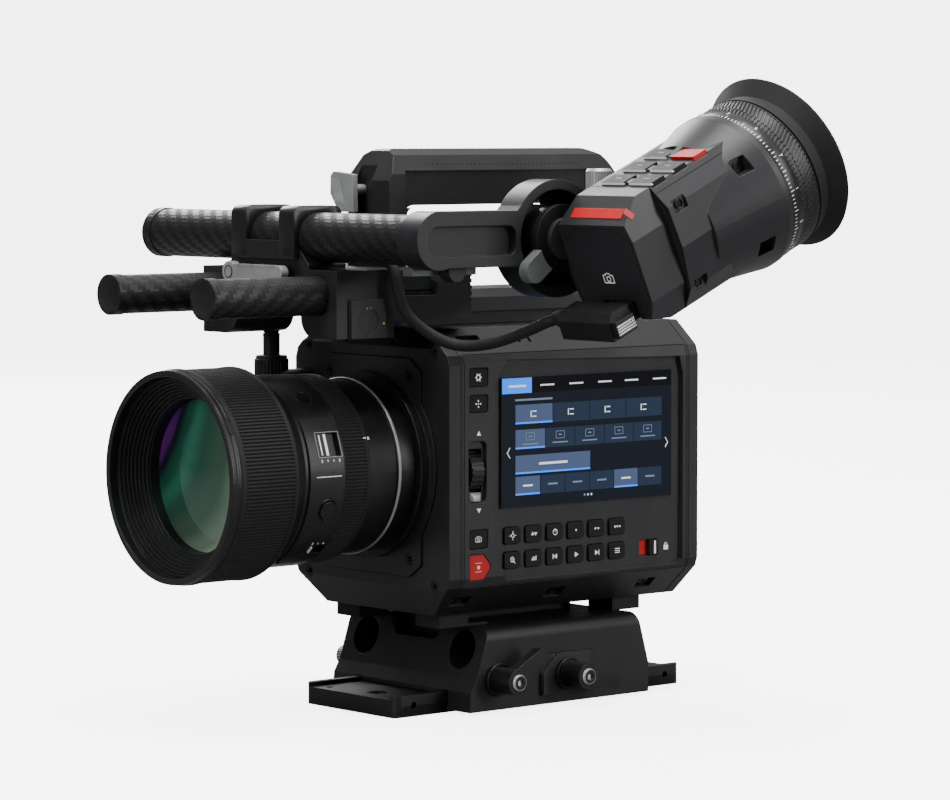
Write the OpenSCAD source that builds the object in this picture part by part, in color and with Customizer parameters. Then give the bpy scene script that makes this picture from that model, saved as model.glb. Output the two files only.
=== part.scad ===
// A digital cinema camera on a dovetail base, with a top handle, a viewfinder on rods and a prime lens.
// Millimetres. The lens looks along -Y, the operator's side is +X, up is +Z, and Z = 0 is the underside.

/* [Dovetail plate] */
// Half of the plate's width at its widest
plate_half = 29; // [28:0.5:31]
// Half of the plate's length
plate_reach = 76.4; // [72:0.5:84]
// Height of the plate's floor
plate_thick = 7; // [6:0.5:8]
// Height of the rails on its long edges, above the floor
plate_rail = 1.6; // [1:0.1:2]
// Width of each rail
plate_rail_wide = 3.4; // [2.5:0.1:4.5]
// How far the edges draw in at the underside
plate_undercut = 1.2; // [0.8:0.1:1.8]
// Height at which the edges are widest
plate_edge_high = 4.5; // [4:0.1:5]
// Radius of the plate's corners
plate_corner = 4; // [2:0.5:6]
// Radius of the middle tripod thread, three eighths of an inch
tripod_radius = 4.76;
// Radius of the two quarter inch threads
small_thread_radius = 3.17;
// Their distance from the middle
small_thread_at = 24; // [18:1:30]
// Front slot: across, along, and its middle
plate_slot = [8, 8, 5, -66];
// Small index hole: radius, across, along
plate_index = [1.6, -18.7, -71.5];
// Stop screws in the long edges: radius, depth, distance from the ends
plate_stop = [1.4, 3, 9];

/* [Base block] */
// How far the block reaches out past its rod bores' axes
base_cheek = 13; // [11:0.5:15]
// Height of the block's lower edge
base_low = 1.3; // [1:0.1:1.6]
// Height of the block's top
base_high = 34; // [33.5:0.1:35]
// Front end of the block at its foot
base_front = 50.5; // [48:0.5:54]
// Rear end of the block at its foot
base_rear = 45; // [43:0.5:48]
// Front step: how far in, and how high, at its lower and upper fold
base_front_steps = [[0.5, 7.7], [3.5, 12.7]];
// How far the top edge lies behind the front end
front_slope = 10; // [7:0.5:12]
// Rear slope: how far in its top lies, its lower end
base_rear_slope = [6, 11.7];
// Radius of the block's long top edges
base_round = 5; // [3:0.5:6]
// Radius of the two rods that the base takes
rod_radius = 7.5;
// Half of the spacing between those rods
rod_apart = 30;
// Height of the base's rod bores
base_rod_high = 24.8; // [24.6:0.1:25.2]
// Front recess: half width at the top and bottom, depth, height
base_recess = [19, 12, 8, 7];
// Lever shaft's radius
shaft_radius = 2.5; // [2:0.1:2.8]
// Front lever: along, height
base_lever_at = [-36, 13.4];
// Jaw lever: along, height
jaw_lever_at = [-1, 13];
// Length of the levers, from the shaft to the tip
lever_reach = 19; // [16:0.5:20]
// Lever's half width at the hub and at the tip, thickness
lever_size = [4.6, 2.6, 5.5];
// Hub's radius, washer's radius, washer's thickness
lever_hub = [5.2, 6.5, 1.2];
// Socket screw's radius, how far it stands out, socket's radius
lever_screw = [3.1, 1, 1.5];
// Rest angle of the front lever and of the jaw lever
lever_angles = [36, -13];
// Release knob's radius and length
base_knob = [4.2, 10.5];
// How proud the jaw's pad stands
pad_proud = 2;
// How deep the pad is let into the block
pad_deep = 3;
// Height of the feet between the base and the body
foot_high = 5.5; // [5:0.1:6.5]
// Foot: distance from the middle, width, length
foot_size = [17.5, 14.5, 15];
// Front ends of the front and rear feet
foot_at = [-57, 35];
// Riser under the body: half width, front, rear
riser_size = [12, 26, 30];

/* [Camera body] */
// Half of the body's width
body_half = 48; // [47.5:0.5:50]
// Front face, ahead of the middle of the plate
body_front = 65.3;
// Rear face, behind the middle of the plate
body_rear = 67.5; // [66.5:0.5:70]
// Height of the body itself
body_high = 112.3;
// Outline of half the body, in shares of its half width and height
body_shares = [[0.7, 0], [0.975, 0.107], [1, 0.138], [1, 0.877], [0.971, 0.913], [0.733, 1]];
// Wall of the chassis
wall = 5.5; // [5:0.1:6]
// Thickness of the front plate and of the rear panel
end_thick = [6, 5];
// Front plate's bevel: depth, height
front_bevel = [4.5, 11];
// Microphone holes: radius, depth, and their two places across
mic_holes = [1.2, 2.5, -16, 12.5];
// Height of the lens axis above the body's underside
lens_over = 58; // [57:0.5:59]
// Mount plate's square: half width, half height, corner across, corner up
mount_square = [31.3, 42.8, 6.9, 4.9];
// Mount plate's round part
mount_round = 40.5;
// Mount plate: depth let in, proud, boss radius, boss length
mount_steps = [2.8, 0.8, 37, 3.9];
// Throat of the mount
throat_radius = 27; // [25:0.5:28]
// Corner screws of the mount plate and the front plate, from the lens axis
mount_screws = [24.7, 35.7];
front_screws = [39, 45.6];
// Screw head's radius, depth, socket's radius and depth
screw_size = [2.3, 2, 1.2, 1.2];
// Clearance round a screw head
screw_clear = 0.15;
// Side panel: front end, rear end, thickness
panel_size = [-57.5, 61, 4];
// Margin of the opening behind the panel
panel_margin = 2;
// Control recess: front, rear, lower, upper edge, depth
recess_size = [-41.5, 59.2, 53, 139.6, 2];
// Recess corner cuts: along, up
recess_corner = [6, 9];
// Seam between panels
seam = 0.2; // [0.15:0.05:0.3]
// Display: front, rear, lower edge, upper edge, thickness
display_size = [-37.5, 53.2, 81.7, 132.2, 1];
// Control key: length, height, distance between keys, how proud
row_key = [8.3, 6.3, 11.16, 1];
// Middle of the first key along, and the two rows' heights
row_at = [-31.9, 70.3, 60.6];
// Keys in a row
row_count = 6;
// Strip behind a row: thickness, margin, stem radius
row_strip = [0.8, 0.9, 1.2];
// Travel of a control key
key_travel = 0.8; // [0.5:0.1:1]
// Gap round a key
key_gap = 0.25; // [0.2:0.05:0.3]
// Left column: middle along, key width, sunk below the panel's face
column_size = [-50.3, 9.2, 0.3];
// Left column's keys: lower and upper edges
column_keys = [[129.8, 136.8], [119.7, 126.3], [66.5, 73.7]];
// Record key: front, rear, point, lower, upper
record_size = [-54.6, -47.6, -44.4, 54.3, 64];
// Wheel: radius, width, middle along, height, how proud
wheel_size = [8.6, 6, -50.9, 96.5, 0.9];
// Wheel's recess: half length, half height, depth
wheel_recess = [4.6, 12, 1.6];
// Wheel's pin radius, bracket thickness
wheel_pin = [1.5, 1.4];
// Lock: front, rear, lower, upper edge, knob's length, travel
lock_size = [36.8, 46.8, 57.3, 63.8, 4.8, 4.6];
// Lower chamfer screws: places along
low_screws = [-53, -4, 45];
// Pockets of those screws: length, width, depth
low_pocket = [9, 6, 2];
// Top chamfer pockets: middle along, length, width, depth
top_pocket = [-48.7, 11.8, 7, 5];
// Top chamfer slots: two places along, length, width, depth
top_slots = [-23.7, -18.2, 3.2, 1.6, 1.5];
// Sensor block: distance from the body's side, half height, thickness, distance behind the mount's face
sensor_size = [18, 22, 6, 20];
// Sensor window: half width, half height, depth; post radius
sensor_window = [19, 11, 1, 2];
// Board: half width, lower and upper height above the body's underside, thickness, distance ahead of the rear
board_size = [36, 14, 92, 1.6, 30];
// Heat sink: half width, height, base, fin length, fin width, fins
sink_size = [21, 34, 3, 14, 1.4, 8];
// Fan: bore radius, half frame, length, height above the body's underside
fan_size = [16, 19, 10, 29];
// Fan rotor: blade reach, hub radius, blade thickness, blades, blade slant, pin radius
rotor_size = [15.3, 6.5, 1.2, 7, 35, 1.5];
// Rear vents: half width, slot height, distance between slots, slots
vent_size = [15, 2, 4.2, 7];
// Battery plate: half width, lower and upper height above the underside, thickness, edge
battery_size = [34, 46, 103, 7, 3];
// Battery wedge: half width at the top and bottom, height, depth
battery_wedge = [14, 9, 36, 4.5];
// Side connectors of the far side: radius, length, pin radius, pin length, places along
jack_size = [4.7, 5, 3.2, 4];
jack_places = [-34, -14, 6, 26];
// Height of the connectors
jack_high = 72;
// Power connector: radius, length, along, height
power_size = [8, 5, 42, 96];

/* [Lens] */
// Radius of the widest ring
lens_radius = 41.5; // [41:0.5:43]
// Focus ring's ends, ahead of the middle of the plate
focus_ends = [133, 160.4];
// Front rim's radius and end
rim_size = [40.8, 164.3];
// Groove behind the focus ring: two radii, length
groove_size = [40, 37.5, 5.5];
// Switch section's radius and rear end
switch_ring = [37.3, 108];
// Aperture ring's rear end
aperture_end = 94.8;
// Wall of a turning ring
ring_wall = 3; // [2.5:0.1:3.5]
// Grip ribs of the focus ring and of the aperture ring: depth, width, count
focus_ribs = [0.8, 2, 48];
aperture_ribs = [0.6, 1.6, 48];
// Focus ring's plain margins, front and rear
focus_margin = [2.5, 2];
// Rear barrel: two radii, rear end
rear_barrel = [35, 34, 78.3];
// Silver ring's length and radius
bayonet_ring = [1.6, 34.6];
// Length of the bayonet in the throat
bayonet_long = 6;
// Front of the barrel: thread radius, thread depth, radius at the glass, depth at the glass
front_cone = [38.4, 4, 30, 13];
// Glass: front radius, thickness, dome radius; rear radius, thickness, set back from the bayonet's end
lens_glass = [29.6, 9, 90, 20, 5, 2];
// Running play of the lens's rings and of the shafts, on the radius
play = 0.05; // [0.03:0.01:0.08]
// Switch pad: height over the section, front, rear, lower angle, upper angle, depth of its pockets
pad_size = [0.8, 125.6, 109, -64, 36, 1.2];
// Focus switch: along, angle, half length, half height, knob half length, travel, height
focus_switch_size = [115.5, 19, 5.2, 4.6, 2.4, 5, 1.6];
// Hold button: along, angle, radius, travel, height
hold_size = [116, -19.4, 3.6, 0.7, 1.2];
// Click switch: along, angle, half length, half height, knob half length, travel, height
click_size = [114, -49, 4.4, 2.6, 2, 4, 1.4];

/* [Rail, rods and handle] */
// Rail: half width of the neck, half width, neck height, height, bevel, half length
rail_size = [11, 16, 5.2, 14.2, 3.3, 60];
// Rod block: half width, front end, rear end, height over the rail's neck, height
clamp_size = [40, 86.5, 47, 4.2, 19.5];
// Height of the upper rods over the body
upper_rod_over = 14.5; // [14.3:0.1:14.9]
// Front end of the upper rods
upper_rod_front = 170; // [160:1:185]
// Rod cap's length, how far the rods stop short of the block's rear, how proud the cap stands
rod_cap = [5, 2, 0.35];
// Side pocket of the rod block: front, rear, lower, upper height over its foot, depth
block_pocket = [-81, -64.8, 9.6, 19.5, 2.5];
// Handle: half width, front, rear, height over the body
handle_size = [13, 66.3, 54, 70.2];
// Handle bar's height and the legs' depth at the front and rear
handle_bar = [22.4, 8.3, 14];
// Handle's top front corner: along, up
handle_corner = [5.9, 12.7];
// Radius of the rear corner and of the finger gap's corners
handle_rounds = [14, 6];
// Top edges of the handle: across and down, twice
handle_edges = [[0, 10], [3.6, 2.7], [9, 0.2]];
// Grip inlay: rear end, height, depth, how far it is sunk
grip_size = [38, 13.5, 2.5, 1];
// Slot in the front leg: from, to, lower, upper height over the body, depth
handle_slot = [-8, 2, 26.2, 64.2, 3];
// Handle's foot on the rail: half width, height, front, rear
handle_foot = [19, 8, 34, 58];
// Paddle: thickness, distance ahead of the leg, pin radius, pin place across, up over the body
paddle_size = [2.4, 2.6, 2, -7, 54];
// Paddle's outline from its pin, across and up
paddle_outline = [[-10.7, 5.4], [-8.9, 7], [3.3, 5.9], [3.6, -8.8], [-5.7, -9], [-10.9, -1.7]];

/* [Carriage and cross rod] */
// Rings of the carriage: radius, inner end, outer end
ring_size = [12, 10.5, 19.5];
// Cross rod's radius
cross_radius = 9.5;
// Cross rod's axis: ahead of the middle, height over the body
cross_at = [107, 36.4];
// Cross rod's free end across
cross_end = -82;
// Ears: inner and outer edge, front, rear, lower and upper height over the body
ear_size = [20, 42, 116, 88, -1.8, 24.2];
// Radius of the ears' lower inner corner
ear_round = 8; // [5:0.5:10]
// Middle block: half width at the foot and at the rings, rear end, lower, shoulder and upper height
middle_size = [25, 19.5, 98, 18, 26, 31.5];
// Front bar under the rod: lower and upper height, depth
middle_bar = [28.2, 35.2, 3];
// Cover on the operator's side: front, rear, lower, upper height, proud, recess radius, recess depth
ear_cover = [110, 93, -4.3, 13, 1.5, 5, 0.5];
// Carriage lever: pivot across, pivot up, tip across, half width, thickness, gap ahead of the carriage
clamp_lever = [-16.5, 22.7, 17, 3, 3.4, 3.5];
// Pivot pin of that lever: radius, depth in the carriage
clamp_pin = [2, 6];

/* [Viewfinder arm] */
// Arm: inner face, outer face
arm_faces = [80, 92];
// Radius of the rod end and of the hub
arm_radii = [11, 22.4];
// Tilt axis behind the cross rod
arm_reach = 58.3; // [56:0.5:62]
// Arm's straight part: height below and above the axis, end of it
arm_bar = [10.2, 10.8, 38];
// Ramp: its end ahead of the hub's middle, and its height
arm_ramp = [12.5, 18.6];
// Pocket: front, rear, below, above the axis, depth, corner radius
arm_pocket = [-5, 37.6, 5.9, 5.3, 3, 4];
// Hub: inner radius, web thickness, window's three corners from the axis
hub_size = [18.6, 4];
hub_window = [[-5.5, 13], [1.5, 12.6], [0.6, 17]];
// Tilt pin's radius
tilt_pin = 5;
// Knob's lug: from, to behind the hub, lower, upper height, knob's place, distance from the outer face
lug_size = [14, 34, 9.5, 17.5, 27.7, 2.5];
// Lock knob: radius, height, shaft radius, shaft depth
knob_size = [5.5, 8.4, 2.5, 6];
// Arm lever: thickness, pivot behind the rod, pivot below the rod, reach forward, reach back, bar height
arm_lever_size = [5.6, 13.5, 11.6, 16.5, 14.5, 3.4];
// Arm lever's hub radius and its boss on the arm
arm_lever_hub = [4.2, 4.2, 2];
// Tilt lever: ring's radius, ring's thickness, length, half width, bar's thickness
tilt_size = [13, 2.6, 24, 4.6, 4.7];
// Rest angle of the tilt lever
tilt_lever_angle = 218; // [200:1:225]

/* [Viewfinder] */
// Middle of the viewfinder: across, and below the tilt axis
finder_middle = [116, -12];
// Tilt of the viewfinder
finder_tilt = 24; // [18:1:30]
// Boss in the hub: flange radius, neck radius, end of the neck
boss_size = [12, 8, 97];
// Front face of the viewfinder, and the seam and the rear of the shell
finder_ends = [-2, 17, 66];
// Outline of the front, across and up from the tilt axis
finder_front = [
  [-11.7, 6.8], [-21.5, -0.4], [-22.8, -8.4], [-19.6, -25.1], [-13, -31.6],
  [13, -31.6], [19.8, -24.5], [19.6, 0.1], [11.6, 6.8]
];
// Top of the viewfinder over the tilt axis, where it starts, half width of the top
finder_top = [14, 9, 16];
// Outline of the shell, across and up from the tilt axis
finder_shell = [
  [-16, 14], [-22.6, 5.5], [-23.6, -10.7], [-20.7, -28], [-14.5, -36],
  [14.5, -36], [20.7, -28], [23.6, -10.7], [22.6, 5.5], [16, 14]
];
// Flare to the dioptre ring: where it starts, radius there
finder_flare = [34, 24.5];
// Dioptre ring: radius, start, end, sleeve's radius
dioptre_size = [32.2, 69, 85, 27];
// Grip ribs of the dioptre ring: depth, width, count, length
dioptre_ribs = [0.6, 1.4, 48, 9];
// Eyecup: radius at the ring, radius of the rim, end, wall, lip
eyecup_size = [31.5, 35.5, 98.2, 3, 3];
// Eyepiece: radius, thickness, how far inside the sleeve's end
eyepiece_size = [21, 5, 3];
// How far the sleeve runs into the eyecup
sleeve_over = 5;
// Keys on top: length across, length along, proud, travel, gap
finder_key = [12.2, 7.2, 1.2, 0.7, 0.25];
// Middles of the key columns, from the viewfinder's middle
finder_columns = [-5, 10.2];
// Front edges of the key rows
finder_rows = [18.2, 30, 41.8];
// Key's body under the top, stem radius, stem length
finder_stem = [1.6, 1.3, 3];
// Peg between the keys: half width, length, height
finder_peg = [1.4, 3.4, 0.9];
// Side screws: two places along and two heights; pocket length, height, depth
finder_screws = [23.2, 56.3, 5, -28.5];
finder_pocket = [7, 6, 2.2];
// Notch for the plug in the front: half width, height
plug_notch = [8.6, 9.5];
// Plug at the viewfinder: left end, right end, front, rear, lower, upper, from the tilt axis
finder_plug = [-17.5, 11, -18, -6.5, -33.5, -23];
// Neck of that plug: left, right, rear end, lower, upper
finder_plug_neck = [-3, 9, 6, -31.6, -24.5];
// Silver end of that plug: length, inset
finder_plug_end = [2.6, 1];

/* [Cable] */
// Diameter of the cable
cable_width = 4.4; // [4:0.1:4.8]
// Camera plug: across, up from the lens axis, radius, collar radius
plug_size = [-45, 30.5, 6.3, 3.4];
// Its upper ends over the lens axis, its foot under the plug's axis
plug_ends = [41.5, 49.5, 7.5];
// How far ahead of the body the plug's upright part lies
plug_ahead = 14.7;
// Plug's port in the front plate: radius, depth
camera_port = [5.5, 4];

/* [Hidden] */
$fn = 48;

part_gap = 0.3;
slip = 0.1;
base_half = rod_apart + base_cheek;
past = 1;
body_low = base_high + foot_high;
body_top = body_low + body_high;
lens_high = body_low + lens_over;
mount_face = body_front + mount_steps[1] + mount_steps[3];
panel_half = body_half - panel_size[2];
sensor_half = body_half - sensor_size[0];
recess_floor = body_half - recess_size[4];
cross_high = body_top + cross_at[1];
rod_high = body_top + upper_rod_over;
arm_bore_end = arm_faces[1] - arm_pocket[4] - past;
tilt_axis = [0, arm_reach - cross_at[0], cross_high];
carriage_front = ear_size[2];
dark = [0.13, 0.13, 0.14];
grey = [0.2, 0.2, 0.21];
silver = [0.72, 0.73, 0.74];
green = [0.3, 0.33, 0.32];
rubber = [0.07, 0.07, 0.07];
key_red = [0.8, 0.1, 0.1];
glass_dark = [0.05, 0.06, 0.1];
board_green = [0.05, 0.25, 0.12];
cable_sides = 8;
// The cable's route from the camera's plug over the carriage to the viewfinder's plug
cable_route = [
  [-45, -80, 147], [-45, -80, 166], [-44, -84, 181], [-26, -88, 185.5], [0, -90, 185.5], [20, -90, 184.5],
  [36, -91, 182.5], [46.5, -92, 178], [48, -91, 168], [48.5, -88, 159], [54, -80, 151], [62, -73, 146.5],
  [75, -66, 148], [86, -57, 153.5], [92, -50, 158], [98.5, -50, 158]
];

// Solids between two places, along each axis
module block(from, to) {
  translate(from) cube(to - from);
}
module rod_x(r, from, to, y, z) {
  translate([from, y, z]) rotate([0, 90, 0]) cylinder(r = r, h = to - from);
}
module rod_y(r, from, to, x, z) {
  translate([x, to, z]) rotate([90, 0, 0]) cylinder(r = r, h = to - from);
}
module rod_z(r, from, to, x, y) {
  translate([x, y, from]) cylinder(r = r, h = to - from);
}
// An outline in Y and Z, drawn out along X
module slab_x(from, to) {
  translate([from, 0, 0]) rotate([90, 0, 90]) linear_extrude(to - from) children();
}
// An outline in X and Z, drawn out along Y
module slab_y(from, to) {
  translate([0, to, 0]) rotate([90, 0, 0]) linear_extrude(to - from) children();
}
// A rectangle with round corners
module round_rect(from, to, r) {
  translate([from.x + r, from.y]) square([to.x - from.x - 2 * r, to.y - from.y]);
  translate([from.x, from.y + r]) square([to.x - from.x, to.y - from.y - 2 * r]);
  for (x = [from.x + r, to.x - r], y = [from.y + r, to.y - r]) translate([x, y]) circle(r);
}
// A turned piece about the lens axis, its outline in radius and distance ahead
module turned(points) {
  translate([0, 0, lens_high]) rotate([90, 0, 0]) rotate_extrude($fn = 96) polygon(points);
}
// Children stand on the lens barrel, with X pointing outward at the angle
module on_lens(along, angle) {
  translate([0, -along, lens_high]) rotate([0, -angle, 0]) children();
}
// Children in the viewfinder's own frame, about the tilt axis
module in_finder() {
  translate(tilt_axis) rotate([finder_tilt, 0, 0]) children();
}
module mirror_pair() {
  children();
  mirror([1, 0, 0]) children();
}
function mirrored(points) = concat(
  points, [for (i = [len(points) - 1:-1:0]) [-points[i].x, points[i].y]]
);
function body_outline(half, low, high) = mirrored(
  [for (s = body_shares) [half * s.x, low + (high - low) * s.y]]
);
function shifted(points, x) = [for (p = points) [p.x + x, p.y]];

// Dovetail plate

module plate_outline() {
  inner = plate_half - plate_rail_wide;
  high = plate_thick + plate_rail;
  polygon(mirrored([
    [plate_half - plate_undercut, 0], [plate_half, plate_edge_high], [plate_half, high],
    [inner, high], [inner, plate_thick]
  ]));
}

module dovetail_plate() {
  color(grey) difference() {
    intersection() {
      slab_y(-plate_reach, plate_reach) plate_outline();
      linear_extrude(plate_thick + plate_rail + past)
        round_rect([-plate_half, -plate_reach], [plate_half, plate_reach], plate_corner);
    }
    rod_z(tripod_radius, -past, plate_thick + past, 0, 0);
    for (y = [-small_thread_at, small_thread_at])
      rod_z(small_thread_radius, -past, plate_thick + past, 0, y);
    rod_z(plate_index[0], -past, plate_thick + past, plate_index[1], plate_index[2]);
    translate([plate_slot[2], plate_slot[3], -past]) linear_extrude(plate_thick + 2 * past)
      round_rect(-[plate_slot[0], plate_slot[1]] / 2, [plate_slot[0], plate_slot[1]] / 2, 3 * past);
    for (y = [-plate_reach + plate_stop[2], plate_reach - plate_stop[2]]) mirror_pair()
      rod_x(plate_stop[0], plate_half - plate_stop[1], plate_half + past, y, plate_edge_high);
  }
}

// Base

module base_side() {
  rise = base_front_steps;
  polygon([
    [-base_front, base_low], [-base_front + rise[0].x, base_low + rise[0].y],
    [-base_front + rise[1].x, base_low + rise[1].y], [-base_front + front_slope, base_high],
    [base_rear - base_rear_slope.x, base_high], [base_rear, base_low + base_rear_slope.y],
    [base_rear, base_low]
  ]);
}

module base_channel() {
  g = part_gap;
  inner = plate_half - plate_rail_wide - g;
  high = plate_thick + plate_rail + g;
  low_half = plate_half - plate_undercut;
  polygon(mirrored([
    [low_half + g, -past], [low_half + g, 0], [plate_half + g, plate_edge_high],
    [plate_half + g, high], [inner, high], [inner, plate_thick + g]
  ]));
}

module base_block() {
  color(dark) difference() {
    union() {
      intersection() {
        slab_x(-base_half, base_half) base_side();
        slab_y(-base_front - past, base_rear + past) {
          round_rect([-base_half, base_low], [base_half, base_high], base_round);
          translate([-base_half, base_low]) square([2 * base_half, base_round]);
        }
      }
      block([-riser_size[0], -riser_size[1], base_high - past], [riser_size[0], riser_size[2], body_low]);
    }
    slab_y(-base_front - past, base_rear + past) base_channel();
    for (x = [-rod_apart, rod_apart])
      rod_y(rod_radius + play, -base_front - past, base_rear + past, x, base_rod_high);
    slab_y(-base_front - past, -base_front + front_slope + base_recess[2])
      polygon(mirrored([
        [base_recess[1], base_high - base_recess[3]], [base_recess[0], base_high + past]
      ]));
    rod_x(shaft_radius + play, -base_half - past, base_half + past, base_lever_at.x, base_lever_at.y);
    block(
      [base_half - pad_deep, pad_box[0], base_low - past],
      [base_half + past, pad_box[1], base_low + pad_box[2]]
    );
    rod_x(shaft_radius + play, base_half - 3 * pad_deep, base_half, jaw_lever_at.x, jaw_lever_at.y);
  }
}

// Jaw pad: its reach ahead and behind, and its height over the block's foot
pad_box = [-13.8, 13.8, 20];
pad_shares = [
  [0, 0.2], [0, 0.63], [0.21, 0.92], [0.3, 1], [0.72, 0.96], [0.97, 0.66], [1, 0.25], [0.54, 0.18]
];

module clamp_pad() {
  long = pad_box[1] - pad_box[0] - 2 * slip;
  color(grey) difference() {
    union() {
      block(
        [base_half - pad_deep, pad_box[0] + slip, base_low],
        [base_half, pad_box[1] - slip, base_low + pad_box[2] - slip]
      );
      slab_x(base_half - pad_deep, base_half + pad_proud) polygon([
        for (s = pad_shares)
          [pad_box[0] + slip + long * s.x, base_low + (pad_box[2] - slip) * s.y]
      ]);
    }
    rod_x(
      shaft_radius + play, base_half - pad_deep - past, base_half + pad_proud + past,
      jaw_lever_at.x, jaw_lever_at.y
    );
  }
}

// A clamp lever on a shaft along X, from its seat outward
module clamp_handle(seat, angle) {
  root = seat + lever_hub[2];
  difference() {
    union() {
      rod_x(lever_hub[1], seat, root, 0, 0);
      rod_x(lever_hub[0], root, root + 2 * lever_size[2], 0, 0);
      rod_x(lever_screw[0], root, root + 2 * lever_size[2] + lever_screw[1], 0, 0);
      rotate([angle, 0, 0]) slab_x(root + lever_size[2], root + 2 * lever_size[2] - past) {
        polygon([
          [0, -lever_size[0]], [lever_reach - lever_size[1], -lever_size[1]],
          [lever_reach - lever_size[1], lever_size[1]], [0, lever_size[0]]
        ]);
        translate([lever_reach - lever_size[1], 0]) circle(lever_size[1]);
      }
    }
    rod_x(lever_screw[2], root + 2 * lever_size[2] - past, root + 3 * lever_size[2], 0, 0, $fn = 6);
  }
}

module base_lever() {
  color(silver) translate([0, base_lever_at.x, base_lever_at.y]) {
    clamp_handle(base_half + part_gap, lever_angles[0]);
    rod_x(shaft_radius, -base_half - base_knob[1], base_half + part_gap + past, 0, 0);
    rod_x(base_knob[0], -base_half - part_gap - base_knob[1], -base_half - part_gap, 0, 0);
  }
}

module jaw_lever() {
  seat = base_half + pad_proud + part_gap;
  color(silver) translate([0, jaw_lever_at.x, jaw_lever_at.y]) {
    clamp_handle(seat, lever_angles[1]);
    rod_x(shaft_radius, base_half - 3 * pad_deep + part_gap, seat + past, 0, 0);
  }
}

module foot_pads() {
  color(rubber) for (y = foot_at) mirror_pair()
    block([foot_size[0], y, base_high], [foot_size[0] + foot_size[1], y + foot_size[2], body_low]);
  // Carrier of the front feet over the slope
  color(rubber) mirror_pair()
    block(
      [foot_size[0], foot_at[0], base_high],
      [foot_size[0] + foot_size[1], foot_at[0] + foot_size[2] + front_slope, base_high + past]
    );
}

// Camera body

module panel_cut(grow) {
  block(
    [panel_half, panel_size[0] - grow, panel_low - grow],
    [body_half + past, panel_size[1] + grow, panel_high + grow]
  );
}
panel_low = body_low + body_high * body_shares[1].y;
panel_high = body_low + body_high * body_shares[4].y;

// The middle of the sloping edge between two outline points
function edge_middle(a, b) = [
  body_half * (body_shares[a].x + body_shares[b].x) / 2,
  body_low + body_high * (body_shares[a].y + body_shares[b].y) / 2
];
function edge_angle(a, b) = atan2(
  body_high * (body_shares[b].y - body_shares[a].y),
  body_half * (body_shares[b].x - body_shares[a].x)
);

// Children stand on a sloping edge, with Z pointing outward
module on_edge(a, b, y) {
  m = edge_middle(a, b);
  translate([m.x, y, m.y]) rotate([0, 180 - edge_angle(a, b), 0]) children();
}

module edge_pocket(size) {
  translate([-size.y / 2, -size.x / 2, -size.z]) cube([size.y, size.x, size.z + past]);
}

module chassis() {
  front = -body_front + end_thick[0];
  rear = body_rear - end_thick[1];
  color(dark) difference() {
    slab_y(front, rear) polygon(body_outline(body_half, body_low, body_top));
    slab_y(front - past, rear + past)
      polygon(body_outline(body_half - wall, body_low + wall, body_top - wall));
    mirror_pair() {
      panel_cut(seam);
      block(
        [body_half - 2 * wall, panel_size[0] + panel_margin / 2, panel_low + panel_margin],
        [body_half, panel_size[1] - panel_margin, panel_high - panel_margin]
      );
      for (y = low_screws) on_edge(0, 1, y) edge_pocket(low_pocket);
      on_edge(4, 5, top_pocket[0]) edge_pocket([top_pocket[1], top_pocket[2], top_pocket[3] - wall / 2]);
      for (i = [0, 1]) on_edge(4, 5, top_slots[i])
        edge_pocket([top_slots[3], top_slots[2], top_slots[4]]);
    }
  }
}

module mount_outline(grow) {
  w = mount_square[0] + grow;
  h = mount_square[1] + grow;
  translate([0, lens_high]) {
    polygon(mirrored([
      [w - mount_square[2], -h], [w, -h + mount_square[3]],
      [w, h - mount_square[3]], [w - mount_square[2], h]
    ]));
    circle(mount_round + grow, $fn = 96);
  }
}

// Children stand at the four corners about the lens axis
module at_corners(at) {
  for (x = [-at.x, at.x], z = [-at.y, at.y]) translate([x, 0, lens_high + z]) children();
}

module front_plate() {
  rear = -body_front + end_thick[0];
  color(dark) difference() {
    intersection() {
      slab_y(-body_front, rear) polygon(body_outline(body_half, body_low, body_top));
      slab_x(-body_half, body_half) polygon([
        [-body_front + front_bevel[0], body_low], [-body_front, body_low + front_bevel[1]],
        [-body_front, body_top - front_bevel[1] * 2 / 3], [-body_front + front_bevel[0], body_top],
        [rear, body_top], [rear, body_low]
      ]);
    }
    slab_y(-body_front - past, -body_front + mount_steps[0]) mount_outline(seam);
    rod_y(throat_radius, -body_front - past, rear + past, 0, lens_high);
    at_corners(front_screws)
      rod_y(screw_size[0] + screw_clear, -body_front - past, -body_front + screw_size[1], 0, 0);
    for (x = [mic_holes[2], mic_holes[3]])
      rod_y(mic_holes[0], -body_front - past, -body_front + mic_holes[1], x, body_top - front_bevel[1] / 2);
    rod_y(
      camera_port[0] + slip, -body_front - past, -body_front + camera_port[1],
      plug_size[0] + camera_port[0] - 1.5 * past, lens_high + plug_size[1]
    );
  }
}

module mount_plate() {
  proud = -body_front - mount_steps[1];
  color(dark) difference() {
    union() {
      slab_y(proud, -body_front + mount_steps[0]) mount_outline(0);
      rod_y(mount_steps[2], -mount_face, proud + past, 0, lens_high, $fn = 96);
    }
    rod_y(throat_radius, -mount_face - past, 0, 0, lens_high, $fn = 96);
    at_corners(mount_screws)
      rod_y(screw_size[0] + screw_clear, proud - past, proud + screw_size[1], 0, 0);
  }
}

// A socket screw looking along -Y, and one standing along Z
module front_screw(at_y) {
  difference() {
    rod_y(screw_size[0], at_y + screw_clear, at_y + screw_size[1], 0, 0);
    rod_y(screw_size[2], at_y, at_y + screw_size[3], 0, 0, $fn = 6);
  }
}
module edge_screw(depth) {
  translate([0, 0, -depth]) difference() {
    cylinder(r = screw_size[0], h = screw_size[1] / 2);
    translate([0, 0, screw_size[1] / 4]) cylinder(r = screw_size[2], h = screw_size[1], $fn = 6);
  }
}

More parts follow.
